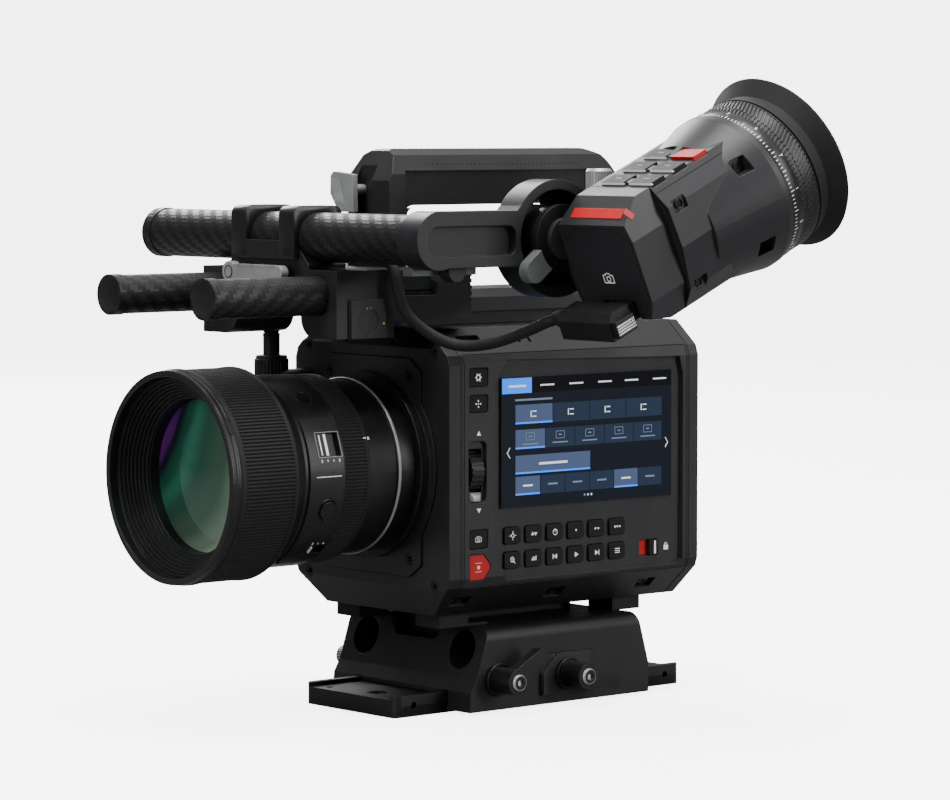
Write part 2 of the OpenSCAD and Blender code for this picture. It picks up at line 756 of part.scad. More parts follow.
module body_screws() {
  color(silver / 4) {
    at_corners(front_screws) front_screw(-body_front);
    at_corners(mount_screws) front_screw(-body_front - mount_steps[1]);
    mirror_pair() {
      for (y = low_screws) on_edge(0, 1, y) edge_screw(low_pocket[2]);
      on_edge(4, 5, top_pocket[0]) edge_screw(top_pocket[3] - wall / 2);
    }
  }
}

module recess_outline() {
  c = recess_corner;
  r = recess_size;
  polygon([
    [r[0], r[2] + c.y], [r[0] + c.x, r[2]], [r[1] - c.x / 3, r[2]], [r[1], r[2] + c.x / 3],
    [r[1], r[3] - c.y], [r[1] - c.x / 3, r[3] - c.x / 3], [r[0] + c.x, r[3]], [r[0], r[3] - c.y]
  ]);
}

// Children lie in Y and Z at a left column key
module column_key_outline(i, grow) {
  half = column_size[1] / 2 + grow;
  translate([column_size[0], 0])
    round_rect([-half, column_keys[i][0] - grow], [half, column_keys[i][1] + grow], past);
}
function column_z(i) = (column_keys[i][0] + column_keys[i][1]) / 2;
module record_outline(grow) {
  r = record_size;
  polygon([
    [r[0] - grow, r[3] - grow], [r[1], r[3] - grow], [r[2] + grow, (r[3] + r[4]) / 2 - past],
    [r[2] + grow, (r[3] + r[4]) / 2 + past], [r[1], r[4] + grow], [r[0] - grow, r[4] + grow]
  ]);
}
module row_outline(i, row, grow) {
  y = row_at[0] + i * row_key[2];
  half = [row_key[0] / 2 + grow, row_key[1] / 2 + grow];
  translate([y, row_at[1 + row]]) round_rect(-half, half, past);
}

module side_panel() {
  axle = wheel_axis_x;
  w = wheel_size;
  color(grey) difference() {
    union() {
      intersection() {
        slab_y(panel_size[0], panel_size[1]) polygon(body_outline(body_half, body_low, body_top));
        block([panel_half, panel_size[0], panel_low], [body_half + past, panel_size[1], panel_high]);
      }
      for (side = [-1, 1]) wheel_bracket(side);
    }
    slab_x(recess_floor, body_half + past) recess_outline();
    for (row = [0, 1], i = [0:row_count - 1])
      slab_x(panel_half - past, body_half) row_outline(i, row, key_gap);
    for (i = [0:len(column_keys) - 1]) {
      slab_x(column_floor, body_half + past) column_key_outline(i, key_gap);
      rod_x(row_strip[2] + play, panel_half - past, body_half, column_size[0], column_z(i));
    }
    slab_x(column_floor, body_half + past) record_outline(key_gap);
    rod_x(row_strip[2] + play, panel_half - past, body_half, record_y, record_z);
    slab_x(body_half - wheel_recess[2], body_half + past) round_rect(
      [w[2] - wheel_recess[0], w[3] - wheel_recess[1]], [w[2] + wheel_recess[0], w[3] + wheel_recess[1]],
      wheel_recess[0] / 2
    );
    block(
      [axle - w[0] - part_gap, w[2] - w[1] / 2 - part_gap, w[3] - w[0] - part_gap],
      [body_half + past, w[2] + w[1] / 2 + part_gap, w[3] + w[0] + part_gap]
    );
    rod_y(wheel_pin[0] + play, w[2] - 2 * w[1], w[2] + w[1], axle, w[3]);
    block(
      [recess_floor - past, lock_size[0], lock_size[2]], [body_half, lock_size[1], lock_size[3]]
    );
    block(
      [panel_half - past, lock_size[0] + past, lock_z - past - key_gap],
      [body_half, lock_size[1] - past, lock_z + past + key_gap]
    );
  }
}
column_floor = panel_half + past + key_gap;
fan_z = body_low + fan_size[3];
record_y = (record_size[0] + record_size[1]) / 2;
record_z = (record_size[3] + record_size[4]) / 2;
lock_z = (lock_size[2] + lock_size[3]) / 2;
wheel_axis_x = body_half - wheel_size[0] + wheel_size[4];

module wheel_bracket(side) {
  w = wheel_size;
  inner = w[1] / 2 + part_gap;
  from = side < 0 ? w[2] - inner - wheel_pin[1] : w[2] + inner;
  high = 3 * wheel_pin[0];
  block(
    [wheel_axis_x - high, from, w[3] - high], [panel_half + past, from + wheel_pin[1], w[3] + high]
  );
}

module display() {
  d = display_size;
  color(glass_dark) slab_x(recess_floor, recess_floor + d[4])
    round_rect([d[0], d[2]], [d[1], d[3]], past);
}

module far_panel() {
  color(grey) {
    difference() {
      intersection() {
        slab_y(panel_size[0], panel_size[1]) polygon(body_outline(body_half, body_low, body_top));
        block([-body_half - past, panel_size[0], panel_low], [-panel_half, panel_size[1], panel_high]);
      }
      slab_x(-body_half - past, -recess_floor) recess_outline();
    }
    for (y = jack_places) {
      rod_x(jack_size[0], -recess_floor - jack_size[1], -recess_floor + past, y, jack_high);
      rod_x(jack_size[2], -recess_floor - jack_size[1] - jack_size[3], -recess_floor, y, jack_high);
    }
    rod_x(power_size[0], -recess_floor - power_size[1], -recess_floor + past, power_size[2], power_size[3]);
  }
}

module rear_panel() {
  front = body_rear - end_thick[1];
  color(grey) difference() {
    slab_y(front, body_rear) polygon(body_outline(body_half, body_low, body_top));
    for (i = [0:vent_size[3] - 1]) {
      z = fan_z + (i - (vent_size[3] - 1) / 2) * vent_size[2];
      half = vent_size[0] - abs(i - (vent_size[3] - 1) / 2) * past;
      slab_y(front - past, body_rear + past)
        round_rect([-half, z - vent_size[1] / 2], [half, z + vent_size[1] / 2], vent_size[1] / 3);
    }
  }
}

module battery_plate() {
  b = battery_size;
  low = body_low + b[1];
  high = body_low + b[2];
  rear = body_rear + b[3];
  color(dark) difference() {
    slab_y(body_rear, rear) round_rect([-b[0], low], [b[0], high], b[4]);
    slab_y(rear - battery_wedge[3], rear + past) polygon(mirrored([
      [battery_wedge[1], high - battery_wedge[2]], [battery_wedge[0], high + past]
    ]));
  }
}

module sensor_block() {
  face = -mount_face + sensor_size[3];
  color(silver) {
    difference() {
      block(
        [-sensor_half, face, lens_high - sensor_size[1]],
        [sensor_half, face + sensor_size[2], lens_high + sensor_size[1]]
      );
      block(
        [-sensor_window[0], face - past, lens_high - sensor_window[1]],
        [sensor_window[0], face + sensor_window[2], lens_high + sensor_window[1]]
      );
    }
    at_corners([sensor_half - sensor_window[3], sensor_size[1] - sensor_window[3]])
      rod_y(sensor_window[3], -body_front + end_thick[0], face + past, 0, 0);
  }
}

module main_board() {
  rear = body_rear - end_thick[1];
  face = rear - board_size[4];
  low = body_low + board_size[1];
  high = body_low + board_size[2];
  post = sensor_window[3];
  sink_z = fan_z + fan_size[1] + post;
  color(board_green) {
    block([-board_size[0], face, low], [board_size[0], face + board_size[3], high]);
    for (x = [-board_size[0] + post, board_size[0] - post], z = [low + post, high - post])
      rod_y(post, face, rear, x, z);
  }
  color(silver) {
    block(
      [-sink_size[0], face - sink_size[2], sink_z], [sink_size[0], face, sink_z + sink_size[1]]
    );
    for (i = [0:sink_size[5] - 1]) {
      x = -sink_size[0] + i * (2 * sink_size[0] - sink_size[4]) / (sink_size[5] - 1);
      block(
        [x, face - sink_size[2] - sink_size[3], sink_z],
        [x + sink_size[4], face - sink_size[2] + past, sink_z + sink_size[1]]
      );
    }
  }
  // The fan's frame and the arms of its pin
  color(dark) {
    difference() {
      block(
        [-fan_size[1], rear - fan_size[2], fan_z - fan_size[1]], [fan_size[1], rear, fan_z + fan_size[1]]
      );
      rod_y(fan_size[0], rear - fan_size[2] - past, rear + past, 0, fan_z);
    }
    for (a = [45, 135])
      translate([0, rear, fan_z]) rotate([0, a, 0])
        translate([-fan_size[0] - past, -fan_size[2] / 6, -past])
          cube([2 * (fan_size[0] + past), fan_size[2] / 6, 2 * past]);
    rod_y(rotor_size[5], rear - fan_size[2] + past, rear - past, 0, fan_z);
    block(
      [-fan_size[1] / 2, face + past, fan_z + fan_size[1] / 2],
      [fan_size[1] / 2, rear - fan_size[2] + past, fan_z + fan_size[1]]
    );
  }
}

module fan_rotor() {
  rear = body_rear - end_thick[1];
  front = rear - fan_size[2] + past / 2;
  back = rear - fan_size[2] / 6 - part_gap - past / 2;
  color(rubber) difference() {
    union() {
      rod_y(rotor_size[1], front, back, 0, fan_z);
      for (i = [0:rotor_size[3] - 1])
        translate([0, (front + back) / 2, fan_z]) rotate([0, i * 360 / rotor_size[3], 0])
          translate([rotor_size[1] - past, 0, 0]) rotate([rotor_size[4], 0, 0])
            translate([0, -(back - front) / 2 + past, -rotor_size[2] / 2])
              cube([rotor_size[0] - rotor_size[1] + past / 2, back - front - 2 * past, rotor_size[2]]);
    }
    rod_y(rotor_size[5] + play, front - past, rear, 0, fan_z);
  }
}

// Keys and controls of the side panel

module key_row(row) {
  back = panel_half - part_gap;
  z = row_at[1 + row];
  long = row_at[0] + (row_count - 1) * row_key[2] + row_key[0] / 2 + row_strip[1];
  high = row_key[1] / 2 + row_strip[1];
  color(dark) {
    for (i = [0:row_count - 1])
      slab_x(back - row_strip[0], recess_floor + row_key[3]) row_outline(i, row, 0);
    block(
      [back - row_strip[0], row_at[0] - row_key[0] / 2 - row_strip[1], z - high], [back, long, z + high]
    );
  }
}
module keys_upper_row() key_row(0);
module keys_lower_row() key_row(1);

module column_key(i) {
  back = column_floor + key_travel + slip;
  color(dark) {
    slab_x(back, body_half - column_size[2]) column_key_outline(i, 0);
    rod_x(row_strip[2], panel_half - key_gap, back + past / 2, column_size[0], column_z(i));
  }
}
module menu_key() column_key(0);
module focus_key() column_key(1);
module still_key() column_key(2);

module record_key() {
  back = column_floor + key_travel + slip;
  color(key_red) {
    slab_x(back, body_half - column_size[2]) record_outline(0);
    rod_x(row_strip[2], panel_half - key_gap, back + past / 2, record_y, record_z);
  }
}

module thumb_wheel() {
  w = wheel_size;
  ribs = 24;
  color(silver / 3) {
    difference() {
      rod_y(w[0], w[2] - w[1] / 2, w[2] + w[1] / 2, wheel_axis_x, w[3]);
      for (i = [0:ribs - 1]) translate([wheel_axis_x, w[2], w[3]]) rotate([0, i * 360 / ribs, 0])
        translate([w[0], 0, 0]) cube([past, 2 * w[1], past], center = true);
    }
    rod_y(
      wheel_pin[0], w[2] - w[1] / 2 - wheel_pin[1], w[2] + w[1] / 2 + wheel_pin[1], wheel_axis_x, w[3]
    );
  }
}

module lock_slider() {
  rear = lock_size[1] - key_gap;
  front = rear - lock_size[4];
  color(dark) {
    block(
      [recess_floor - past + slip, front, lock_size[2] + key_gap],
      [recess_floor + past, rear, lock_size[3] - key_gap]
    );
    block(
      [panel_half + slip, front + 1.5 * past, lock_z - past], [recess_floor, rear - 1.5 * past, lock_z + past]
    );
  }
}

// Rail, rods and handle

module rail_outline(grow) {
  r = rail_size;
  polygon(mirrored([
    [r[0] + grow, body_top], [r[0] + grow, body_top + r[2] - grow], [r[1] + grow, body_top + r[2] - grow],
    [r[1] + grow, body_top + r[3] - r[4]], [r[1] - r[4] + grow, body_top + r[3] + grow]
  ]));
}

module top_rail() {
  color(grey) slab_y(-rail_size[5], rail_size[5]) rail_outline(0);
}

module rod_block() {
  b = clamp_size;
  low = body_top + b[3];
  high = low + b[4];
  color(dark) difference() {
    block([-b[0], -b[1], low], [b[0], -b[2], high]);
    slab_y(-rail_size[5] - slip, 0) rail_outline(slip);
    for (x = [-rod_apart, rod_apart])
      rod_y(rod_radius + play, -b[1] - past, -b[2] + past, x, rod_high);
    block(
      [b[0] - block_pocket[4], block_pocket[0], low + block_pocket[2]],
      [b[0] + past, block_pocket[1], high + past]
    );
    for (i = [0:7]) translate([b[0], -b[2], low + b[4] * (i + 0.5) / 8]) rotate([0, 0, 45])
      cube([past, past, past], center = true);
  }
}

module lower_rods() {
  color(rubber) for (x = [-rod_apart, rod_apart]) {
    rod_y(rod_radius, -upper_rod_front, -clamp_size[2] - rod_cap[1], x, rod_high);
    rod_y(rod_radius + rod_cap[2], -upper_rod_front, rod_cap[0] - upper_rod_front, x, rod_high);
  }
}

module handle_side() {
  top = body_top + handle_size[3];
  front = -handle_size[1];
  rear = handle_size[2];
  low = body_top + rail_size[3];
  block_top = body_top + clamp_size[3] + clamp_size[4];
  r = handle_rounds[0];
  difference() {
    polygon(concat(
      [
        [front, block_top], [front, top - handle_corner.y], [front + handle_corner.x, top - past],
        [front + 1.5 * handle_corner.x, top]
      ],
      [for (a = [90:-7.5:0]) [rear - r + r * cos(a), top - r + r * sin(a)]],
      [[rear, low], [rear - 2 * r, low], [rear - 2 * r, block_top]]
    ));
    round_rect(
      [front + handle_bar[1], block_top - 3 * r], [rear - handle_bar[2], top - handle_bar[0]],
      handle_rounds[1]
    );
  }
}

module handle_frame() {
  half = handle_size[0];
  top = body_top + handle_size[3];
  grip_z = top - handle_bar[0];
  low = body_top + rail_size[3];
  color(dark) difference() {
    union() {
      intersection() {
        slab_x(-half, half) handle_side();
        slab_y(-handle_size[1] - past, handle_size[2] + past) polygon(mirrored(concat(
          [[half, body_top]], [for (e = handle_edges) [half - e.x, top - e.y]]
        )));
      }
      difference() {
        block(
          [-handle_foot[0], handle_foot[2], low - handle_foot[1] / 2],
          [handle_foot[0], handle_foot[3], low + handle_foot[1] / 2]
        );
        slab_y(0, rail_size[5] + past) rail_outline(slip);
        block([-half, 0, low - handle_foot[1]], [half, rail_size[5], low]);
      }
    }
    mirror_pair() block(
      [half - grip_size[2], -handle_size[1] + handle_bar[1], grip_z - past],
      [half + past, grip_size[0], grip_z + grip_size[1]]
    );
    block(
      [handle_slot[0], -handle_size[1] - past, body_top + handle_slot[2]],
      [handle_slot[1], -handle_size[1] + handle_slot[4], body_top + handle_slot[3]]
    );
    rod_y(
      paddle_size[2] + play, -handle_size[1] - past, -handle_size[1] + 2 * handle_slot[4],
      paddle_size[3], body_top + paddle_size[4]
    );
  }
}

module handle_grip() {
  half = handle_size[0];
  grip_z = body_top + handle_size[3] - handle_bar[0];
  color(rubber) mirror_pair() block(
    [half - grip_size[2], -handle_size[1] + handle_bar[1] + slip, grip_z],
    [half - grip_size[3], grip_size[0] - slip, grip_z + grip_size[1] - slip]
  );
}

module handle_paddle() {
  front = -handle_size[1] - paddle_size[1] - paddle_size[0];
  color(silver) translate([paddle_size[3], 0, body_top + paddle_size[4]]) {
    slab_y(front, front + paddle_size[0]) polygon(paddle_outline);
    rod_y(paddle_size[2], front + past, -handle_size[1] + 2 * handle_slot[4] - part_gap, 0, 0);
  }
}

// Carriage and cross rod

module carriage_outline() {
  e = ear_size;
  m = middle_size;
  difference() {
    union() {
      mirror_pair() translate([e[0], body_top + e[4]]) square([e[1] - e[0], e[5] - e[4]]);
      polygon(mirrored([
        [m[0], body_top + m[3]], [m[0], body_top + m[4]], [m[1], body_top + m[5]]
      ]));
    }
    mirror_pair() translate([e[0], body_top + e[4]]) difference() {
      square(ear_round);
      translate([ear_round, ear_round]) circle(ear_round);
    }
  }
}

module carriage() {
  e = ear_size;
  y = -cross_at[0];
  c = ear_cover;
  color(dark) difference() {
    union() {
      slab_y(-e[2], -middle_size[2]) carriage_outline();
      slab_y(-e[2], -e[3]) intersection() {
        carriage_outline();
        mirror_pair() translate([e[0], body_top + e[4]]) square([e[1] - e[0], e[5] - e[4]]);
      }
      mirror_pair() rod_x(ring_size[0], ring_size[1], ring_size[2], y, cross_high);
      block(
        [-ring_size[2], y - ring_size[0], body_top + middle_bar[0]],
        [ring_size[2], y - ring_size[0] + middle_bar[2], body_top + middle_bar[1]]
      );
      block([e[1] - past, -c[0], body_top + e[4]], [e[1] + c[4], -c[1], body_top + c[3]]);
    }
    for (x = [-rod_apart, rod_apart])
      rod_y(rod_radius + play, -e[2] - past, -e[3] + past, x, rod_high);
    rod_x(cross_radius + play, -2 * ring_size[2], 2 * ring_size[2], y, cross_high);
    rod_x(
      c[5], e[1] + c[4] - c[6], e[1] + c[4] + past, -(c[0] + c[1]) / 2, body_top + (e[4] + c[3]) / 2 - past
    );
    rod_y(clamp_pin[0] + play, -e[2] - past, -e[2] + clamp_pin[1], clamp_lever[0], body_top + clamp_lever[1]);
  }
}

module carriage_lever() {
  c = clamp_lever;
  rear = -carriage_front - c[5];
  color(silver) translate([c[0], 0, body_top + c[1]]) {
    slab_y(rear - c[4], rear) {
      translate([0, -c[3]]) square([c[2] - c[0] - c[3], 2 * c[3]]);
      circle(c[3] + past);
      translate([c[2] - c[0] - c[3], 0]) circle(c[3]);
    }
    rod_y(clamp_pin[0], rear - past, -carriage_front + clamp_pin[1] - part_gap, 0, 0);
  }
}

module cross_rod() {
  color(rubber) {
    rod_x(cross_radius, cross_end, arm_bore_end - part_gap, -cross_at[0], cross_high);
    rod_x(cross_radius + rod_cap[2], cross_end, cross_end + rod_cap[0], -cross_at[0], cross_high);
  }
}

// Viewfinder arm

module arm_side() {
  circle(arm_radii[0], $fn = 64);
  translate([arm_reach, 0]) circle(arm_radii[1], $fn = 96);
  translate([0, -arm_bar[0]]) square([arm_reach, arm_bar[0] + arm_bar[1]]);
  polygon([
    [arm_bar[2], -arm_bar[0]], [arm_bar[2], arm_bar[1]], [arm_reach - arm_ramp[0], arm_ramp[1]],
    [arm_reach, arm_ramp[1]], [arm_reach, -arm_ramp[1]], [arm_reach - arm_ramp[0], -arm_ramp[1]]
  ]);
}

module viewfinder_arm() {
  inner = arm_faces[0];
  outer = arm_faces[1];
  l = lug_size;
  color(dark) translate([0, -cross_at[0], cross_high]) difference() {
    union() {
      slab_x(inner, outer) arm_side();
      block([inner, arm_reach + l[0], l[2]], [outer - l[5], arm_reach + l[1], l[3]]);
      rod_x(arm_lever_hub[1], inner, (inner + outer) / 2, arm_lever_size[1], -arm_lever_size[2]);
    }
    rod_x(cross_radius + play, inner - past, arm_bore_end, 0, 0);
    slab_x(outer - arm_pocket[4], outer + past)
      round_rect([arm_pocket[0], -arm_pocket[2]], [arm_pocket[1], arm_pocket[3]], arm_pocket[5]);
    rod_x(hub_size[0], inner + hub_size[1], outer + past, arm_reach, 0);
    rod_x(tilt_pin + play, inner - past, outer, arm_reach, 0);
    slab_x(inner - past, outer) translate([arm_reach, 0]) polygon(hub_window);
    rod_z(knob_size[2] + play, l[3] - knob_size[3] - part_gap, l[3] + past, knob_x, arm_reach + l[4]);
    rod_x(
      arm_lever_hub[2] + play, inner - past, (inner + outer) / 2 - past, arm_lever_size[1],
      -arm_lever_size[2]
    );
  }
}

module arm_lever() {
  a = arm_lever_size;
  outer = arm_faces[0] - part_gap;
  color(green) translate([0, -cross_at[0] + a[1], cross_high - a[2]]) {
    slab_x(outer - a[0], outer) {
      circle(arm_lever_hub[0]);
      translate([-a[3], -a[5] / 2]) square([a[3] + a[4], a[5]]);
    }
    rod_x(arm_lever_hub[2], outer - past, (arm_faces[0] + arm_faces[1]) / 2 - 1.5 * past, 0, 0);
  }
}

module tilt_lever() {
  t = tilt_size;
  inner = arm_faces[1] + part_gap;
  color(silver) translate(tilt_axis) rotate([tilt_lever_angle, 0, 0]) difference() {
    union() {
      rod_x(t[0], inner, inner + t[1], 0, 0);
      slab_x(inner, inner + t[4]) difference() {
        union() {
          translate([0, -t[3]]) square([t[2] - t[3], 2 * t[3]]);
          translate([t[2] - t[3], 0]) circle(t[3]);
        }
        circle(t[0] + part_gap);
      }
      slab_x(inner, inner + t[1]) translate([0, -t[3]]) square([t[2] - t[3], 2 * t[3]]);
    }
    rod_x(boss_size[1] + play, inner - past, inner + t[4] + past, 0, 0);
  }
}

knob_x = (arm_faces[0] + arm_faces[1] - lug_size[5]) / 2;

module lock_knob() {
  y = tilt_axis.y + lug_size[4];
  low = cross_high + lug_size[3];
  color(silver) {
    rod_z(knob_size[0], low + part_gap, low + part_gap + knob_size[1], knob_x, y);
    rod_z(knob_size[2], low - knob_size[3], low + past, knob_x, y);
  }
}

// Viewfinder, in its own frame: Y runs toward the eyecup

module viewfinder_front() {
  m = finder_middle.x;
  e = finder_ends;
  t = finder_top;
  low = finder_shell[4].y;
  color(dark) in_finder() {
    difference() {
      union() {
        slab_y(e[0], e[1]) polygon(shifted(finder_front, m));
        intersection() {
          slab_y(e[0], e[1]) polygon(shifted(finder_shell, m));
          slab_x(m - body_half, m + body_half) polygon([
            [e[0], finder_front[0].y], [t[1], t[0]], [e[1], t[0]], [e[1], low],
            [t[1], low], [e[0], finder_front[4].y]
          ]);
          slab_y(e[0], e[1]) polygon(shifted([
            [-t[2], t[0]], finder_front[1], finder_front[2], finder_front[3],
            [finder_shell[4].x, low], [finder_shell[5].x, low],
            finder_front[6], finder_front[7], [t[2], t[0]]
          ], m));
        }
      }
      rod_x(tilt_size[0] + part_gap, 0, arm_faces[1] + 2 * part_gap + tilt_size[1], 0, 0);
      block(
        [m - plug_notch[0] + past, e[0] - past, low - past],
        [m + plug_notch[0] + 2 * past, finder_plug_neck[2] + part_gap, finder_plug_neck[4] + part_gap]
      );
    }
    rod_x(boss_size[1], arm_faces[1] - past, boss_size[2], 0, 0);
    rod_x(boss_size[0], arm_faces[0] + hub_size[1] + part_gap, arm_faces[1] - slip, 0, 0);
    rod_x(tilt_pin, arm_faces[0] + slip, arm_faces[1], 0, 0);
  }
}

module finder_key_place(column, row) {
  translate([
    finder_middle.x + finder_columns[column], finder_rows[row] + finder_key[1] / 2, finder_top[0]
  ]) children();
}
module finder_key_box(grow, from, to) {
  translate([-finder_key[0] / 2 - grow, -finder_key[1] / 2 - grow, from])
    cube([finder_key[0] + 2 * grow, finder_key[1] + 2 * grow, to - from]);
}

module viewfinder_shell() {
  m = finder_middle;
  e = finder_ends;
  d = dioptre_size;
  s = finder_screws;
  depth = finder_stem[0] + finder_key[3] + slip;
  side = finder_shell[7].x;
  low = finder_shell[6].x;
  w = finder_pocket;
  color(dark) in_finder() difference() {
    union() {
      slab_y(e[1], e[2] - past) polygon(shifted(finder_shell, m.x));
      translate([m.x, finder_flare[0], m.y]) rotate([-90, 0, 0])
        cylinder(r1 = finder_flare[1], r2 = d[0], h = e[2] - finder_flare[0], $fn = 96);
      rod_y(d[0], e[2] - slip, d[1] - part_gap, m.x, m.y, $fn = 96);
      rod_y(d[3], e[2], d[2] + part_gap + sleeve_over, m.x, m.y, $fn = 96);
    }
    rod_y(eyepiece_size[0] + slip, e[2], d[2] + part_gap + sleeve_over + past, m.x, m.y);
    for (column = [0, 1], row = [0:2]) finder_key_place(column, row) {
      finder_key_box(finder_key[4], -depth, finder_key[2] + 2 * past);
      rod_z(finder_stem[1] + play, -depth - finder_stem[2] - part_gap - finder_key[3], past, 0, 0);
    }
    for (y = [s[0], s[1]], z = [s[2], s[3]])
      translate([m.x + (z > 0 ? side : low) - w.z, y - w.x / 2, z - w.y / 2]) cube([2 * w.x, w.x, w.y]);
  }
  color(dark) in_finder() for (row = [0:2])
    translate([
      m.x + (finder_columns[0] + finder_columns[1]) / 2 - finder_peg[0],
      finder_rows[row] + finder_peg[1] / 4, finder_top[0] - past / 2
    ]) cube([2 * finder_peg[0], finder_peg[1], finder_peg[2] + past / 2]);
}

module finder_key_solid(column, row) {
  in_finder() finder_key_place(column, row) {
    finder_key_box(0, -finder_stem[0], finder_key[2]);
    rod_z(finder_stem[1], -finder_stem[0] - finder_stem[2], -past, 0, 0);
  }
}
module finder_key_front_left() color(grey) finder_key_solid(0, 0);
module finder_key_front_right() color(grey) finder_key_solid(1, 0);
module finder_key_middle_left() color(grey) finder_key_solid(0, 1);
module finder_key_middle_right() color(grey) finder_key_solid(1, 1);
module finder_key_rear_left() color(grey) finder_key_solid(0, 2);
module finder_record_key() color(key_red) finder_key_solid(1, 2);

module viewfinder_eyepiece() {
  m = finder_middle;
  rear = dioptre_size[2] + part_gap + sleeve_over - eyepiece_size[2];
  color(glass_dark) in_finder() rod_y(eyepiece_size[0], rear - eyepiece_size[1], rear, m.x, m.y);
}

module dioptre_ring() {
  m = finder_middle;
  d = dioptre_size;
  g = dioptre_ribs;
  color(rubber) in_finder() difference() {
    rod_y(d[0], d[1], d[2], m.x, m.y, $fn = 96);
    rod_y(d[3] + play, d[1] - past, d[2] + past, m.x, m.y, $fn = 96);
    for (i = [0:g[2] - 1]) translate([m.x, d[2] - g[3] / 2, m.y]) rotate([0, i * 360 / g[2], 0])
      translate([d[0], 0, 0]) cube([2 * g[0], g[3] - past, g[1]], center = true);
  }
}

module eyecup() {
  m = finder_middle;
  d = dioptre_size;
  c = eyecup_size;
  start = d[2] + part_gap;
  inner = d[3] + slip;
  color(rubber) in_finder() translate([m.x, 0, m.y]) rotate([-90, 0, 0]) rotate_extrude($fn = 96)
    polygon([
      [inner, start], [c[0], start], [c[0] - past, (start + c[2]) / 2 - past],
      [c[1], c[2] - c[4] / 2], [c[1] - c[3] / 3, c[2]], [c[1] - c[3], c[2] - past],
      [inner, start + sleeve_over + past]
    ]);
}

module viewfinder_plug() {
  p = finder_plug;
  n = finder_plug_neck;
  c = finder_plug_end;
  m = finder_middle.x;
  color(rubber) in_finder() {
    slab_x(m + p[0], m + p[1]) polygon([
      [p[2], p[4]], [p[2], p[5] - 3 * past], [p[2] + 3 * past, p[5]], [p[3], p[5]], [p[3], p[4]]
    ]);
    block([m + n[0], p[3] - past, n[3]], [m + n[1], n[2], n[4]]);
    block([m + p[1] - past, p[2] + c[1], p[4] + c[1]], [m + p[1] + c[0], p[3] - c[1], p[5] - 3 * c[1]]);
  }
}

// Lens

lens_sleeve = lens_radius - ring_wall;
aperture_sleeve = switch_ring[0] - ring_wall;

module lens_barrel() {
  front = focus_ends[1] + slip;
  rear_end = mount_face - bayonet_long;
  glass = lens_glass;
  cone = front_cone;
  color(dark) difference() {
    turned([
      [glass[3] + slip, rear_end], [throat_radius - slip, rear_end], [throat_radius - slip, mount_face],
      [rear_barrel[1], mount_face], [rear_barrel[1], rear_barrel[2]],
      [bayonet_ring[1], rear_barrel[2]], [bayonet_ring[1], rear_barrel[2] + bayonet_ring[0]],
      [rear_barrel[1], rear_barrel[2] + bayonet_ring[0]], [rear_barrel[0], aperture_end - slip],
      [aperture_sleeve, aperture_end - slip], [aperture_sleeve, switch_ring[1] + slip],
      [switch_ring[0], switch_ring[1] + slip], [switch_ring[0], focus_ends[0] - groove_size[2]],
      [groove_size[1], focus_ends[0] - groove_size[2]], [groove_size[0], focus_ends[0] - slip],
      [lens_sleeve, focus_ends[0] - slip], [lens_sleeve, front], [rim_size[0], front],
      [rim_size[0], rim_size[1]], [cone[0], rim_size[1]], [cone[0], rim_size[1] - cone[1]],
      [glass[0] + slip, rim_size[1] - cone[3]], [glass[0] + slip, rim_size[1] - cone[3] - glass[1]],
      [glass[3] + slip, rear_end + 4 * glass[4]]
    ]);
    lens_pockets();
  }
  color(dark) difference() {
    intersection() {
      turned([
        [switch_ring[0] - past, pad_size[2]], [switch_ring[0] + pad_size[0], pad_size[2]],
        [switch_ring[0] + pad_size[0], pad_size[1]], [switch_ring[0] - past, pad_size[1]]
      ]);
      translate([0, 0, lens_high]) slab_y(-pad_size[1] - past, -pad_size[2] + past) polygon([
        [0, 0], 2 * lens_radius * [cos(pad_size[3]), sin(pad_size[3])], [2 * lens_radius, 0],
        2 * lens_radius * [cos(pad_size[4]), sin(pad_size[4])]
      ]);
    }
    lens_pockets();
  }
}

// Floors of the switch pockets, as distances from the lens axis
switch_floor = switch_ring[0] - pad_size[5];

module lens_pockets() {
  f = focus_switch_size;
  h = hold_size;
  c = click_size;
  on_lens(f[0], f[1]) block([switch_floor, -f[2], -f[3]], [lens_radius, f[2], f[3]]);
  on_lens(c[0], c[1]) block([switch_floor, -c[2], -c[3]], [lens_radius, c[2], c[3]]);
  on_lens(h[0], h[1]) rod_x(h[2] + key_gap, switch_floor, lens_radius, 0, 0);
}

module lens_elements() {
  g = lens_glass;
  front = rim_size[1] - front_cone[3] + past;
  rear = mount_face - bayonet_long + g[5];
  color(glass_dark) {
    intersection() {
      rod_y(g[0], -front - past, -front + g[1], 0, lens_high, $fn = 96);
      translate([0, -front + g[2], lens_high]) sphere(r = g[2], $fn = 96);
    }
    rod_y(g[3], -rear - g[4], -rear, 0, lens_high, $fn = 96);
  }
}

module ribbed_ring(radius, inner, from, to, ribs, rib_from, rib_to) {
  difference() {
    rod_y(radius, -to, -from, 0, lens_high, $fn = 96);
    rod_y(inner, -to - past, -from + past, 0, lens_high, $fn = 96);
    for (i = [0:ribs[2] - 1]) translate([0, -(rib_from + rib_to) / 2, lens_high])
      rotate([0, (i + 0.5) * 360 / ribs[2], 0]) translate([radius, 0, 0])
        cube([2 * ribs[0], rib_to - rib_from, ribs[1]], center = true);
  }
}
module focus_ring() {
  f = focus_ends;
  color(rubber) ribbed_ring(
    lens_radius, lens_sleeve + play, f[0], f[1], focus_ribs, f[0] + focus_margin[1], f[1] - focus_margin[0]
  );
}
module aperture_ring() {
  a = [aperture_end, switch_ring[1]];
  color(rubber) ribbed_ring(
    switch_ring[0], aperture_sleeve + play, a[0], a[1], aperture_ribs, a[0] + focus_margin[1], a[1] + past
  );
}

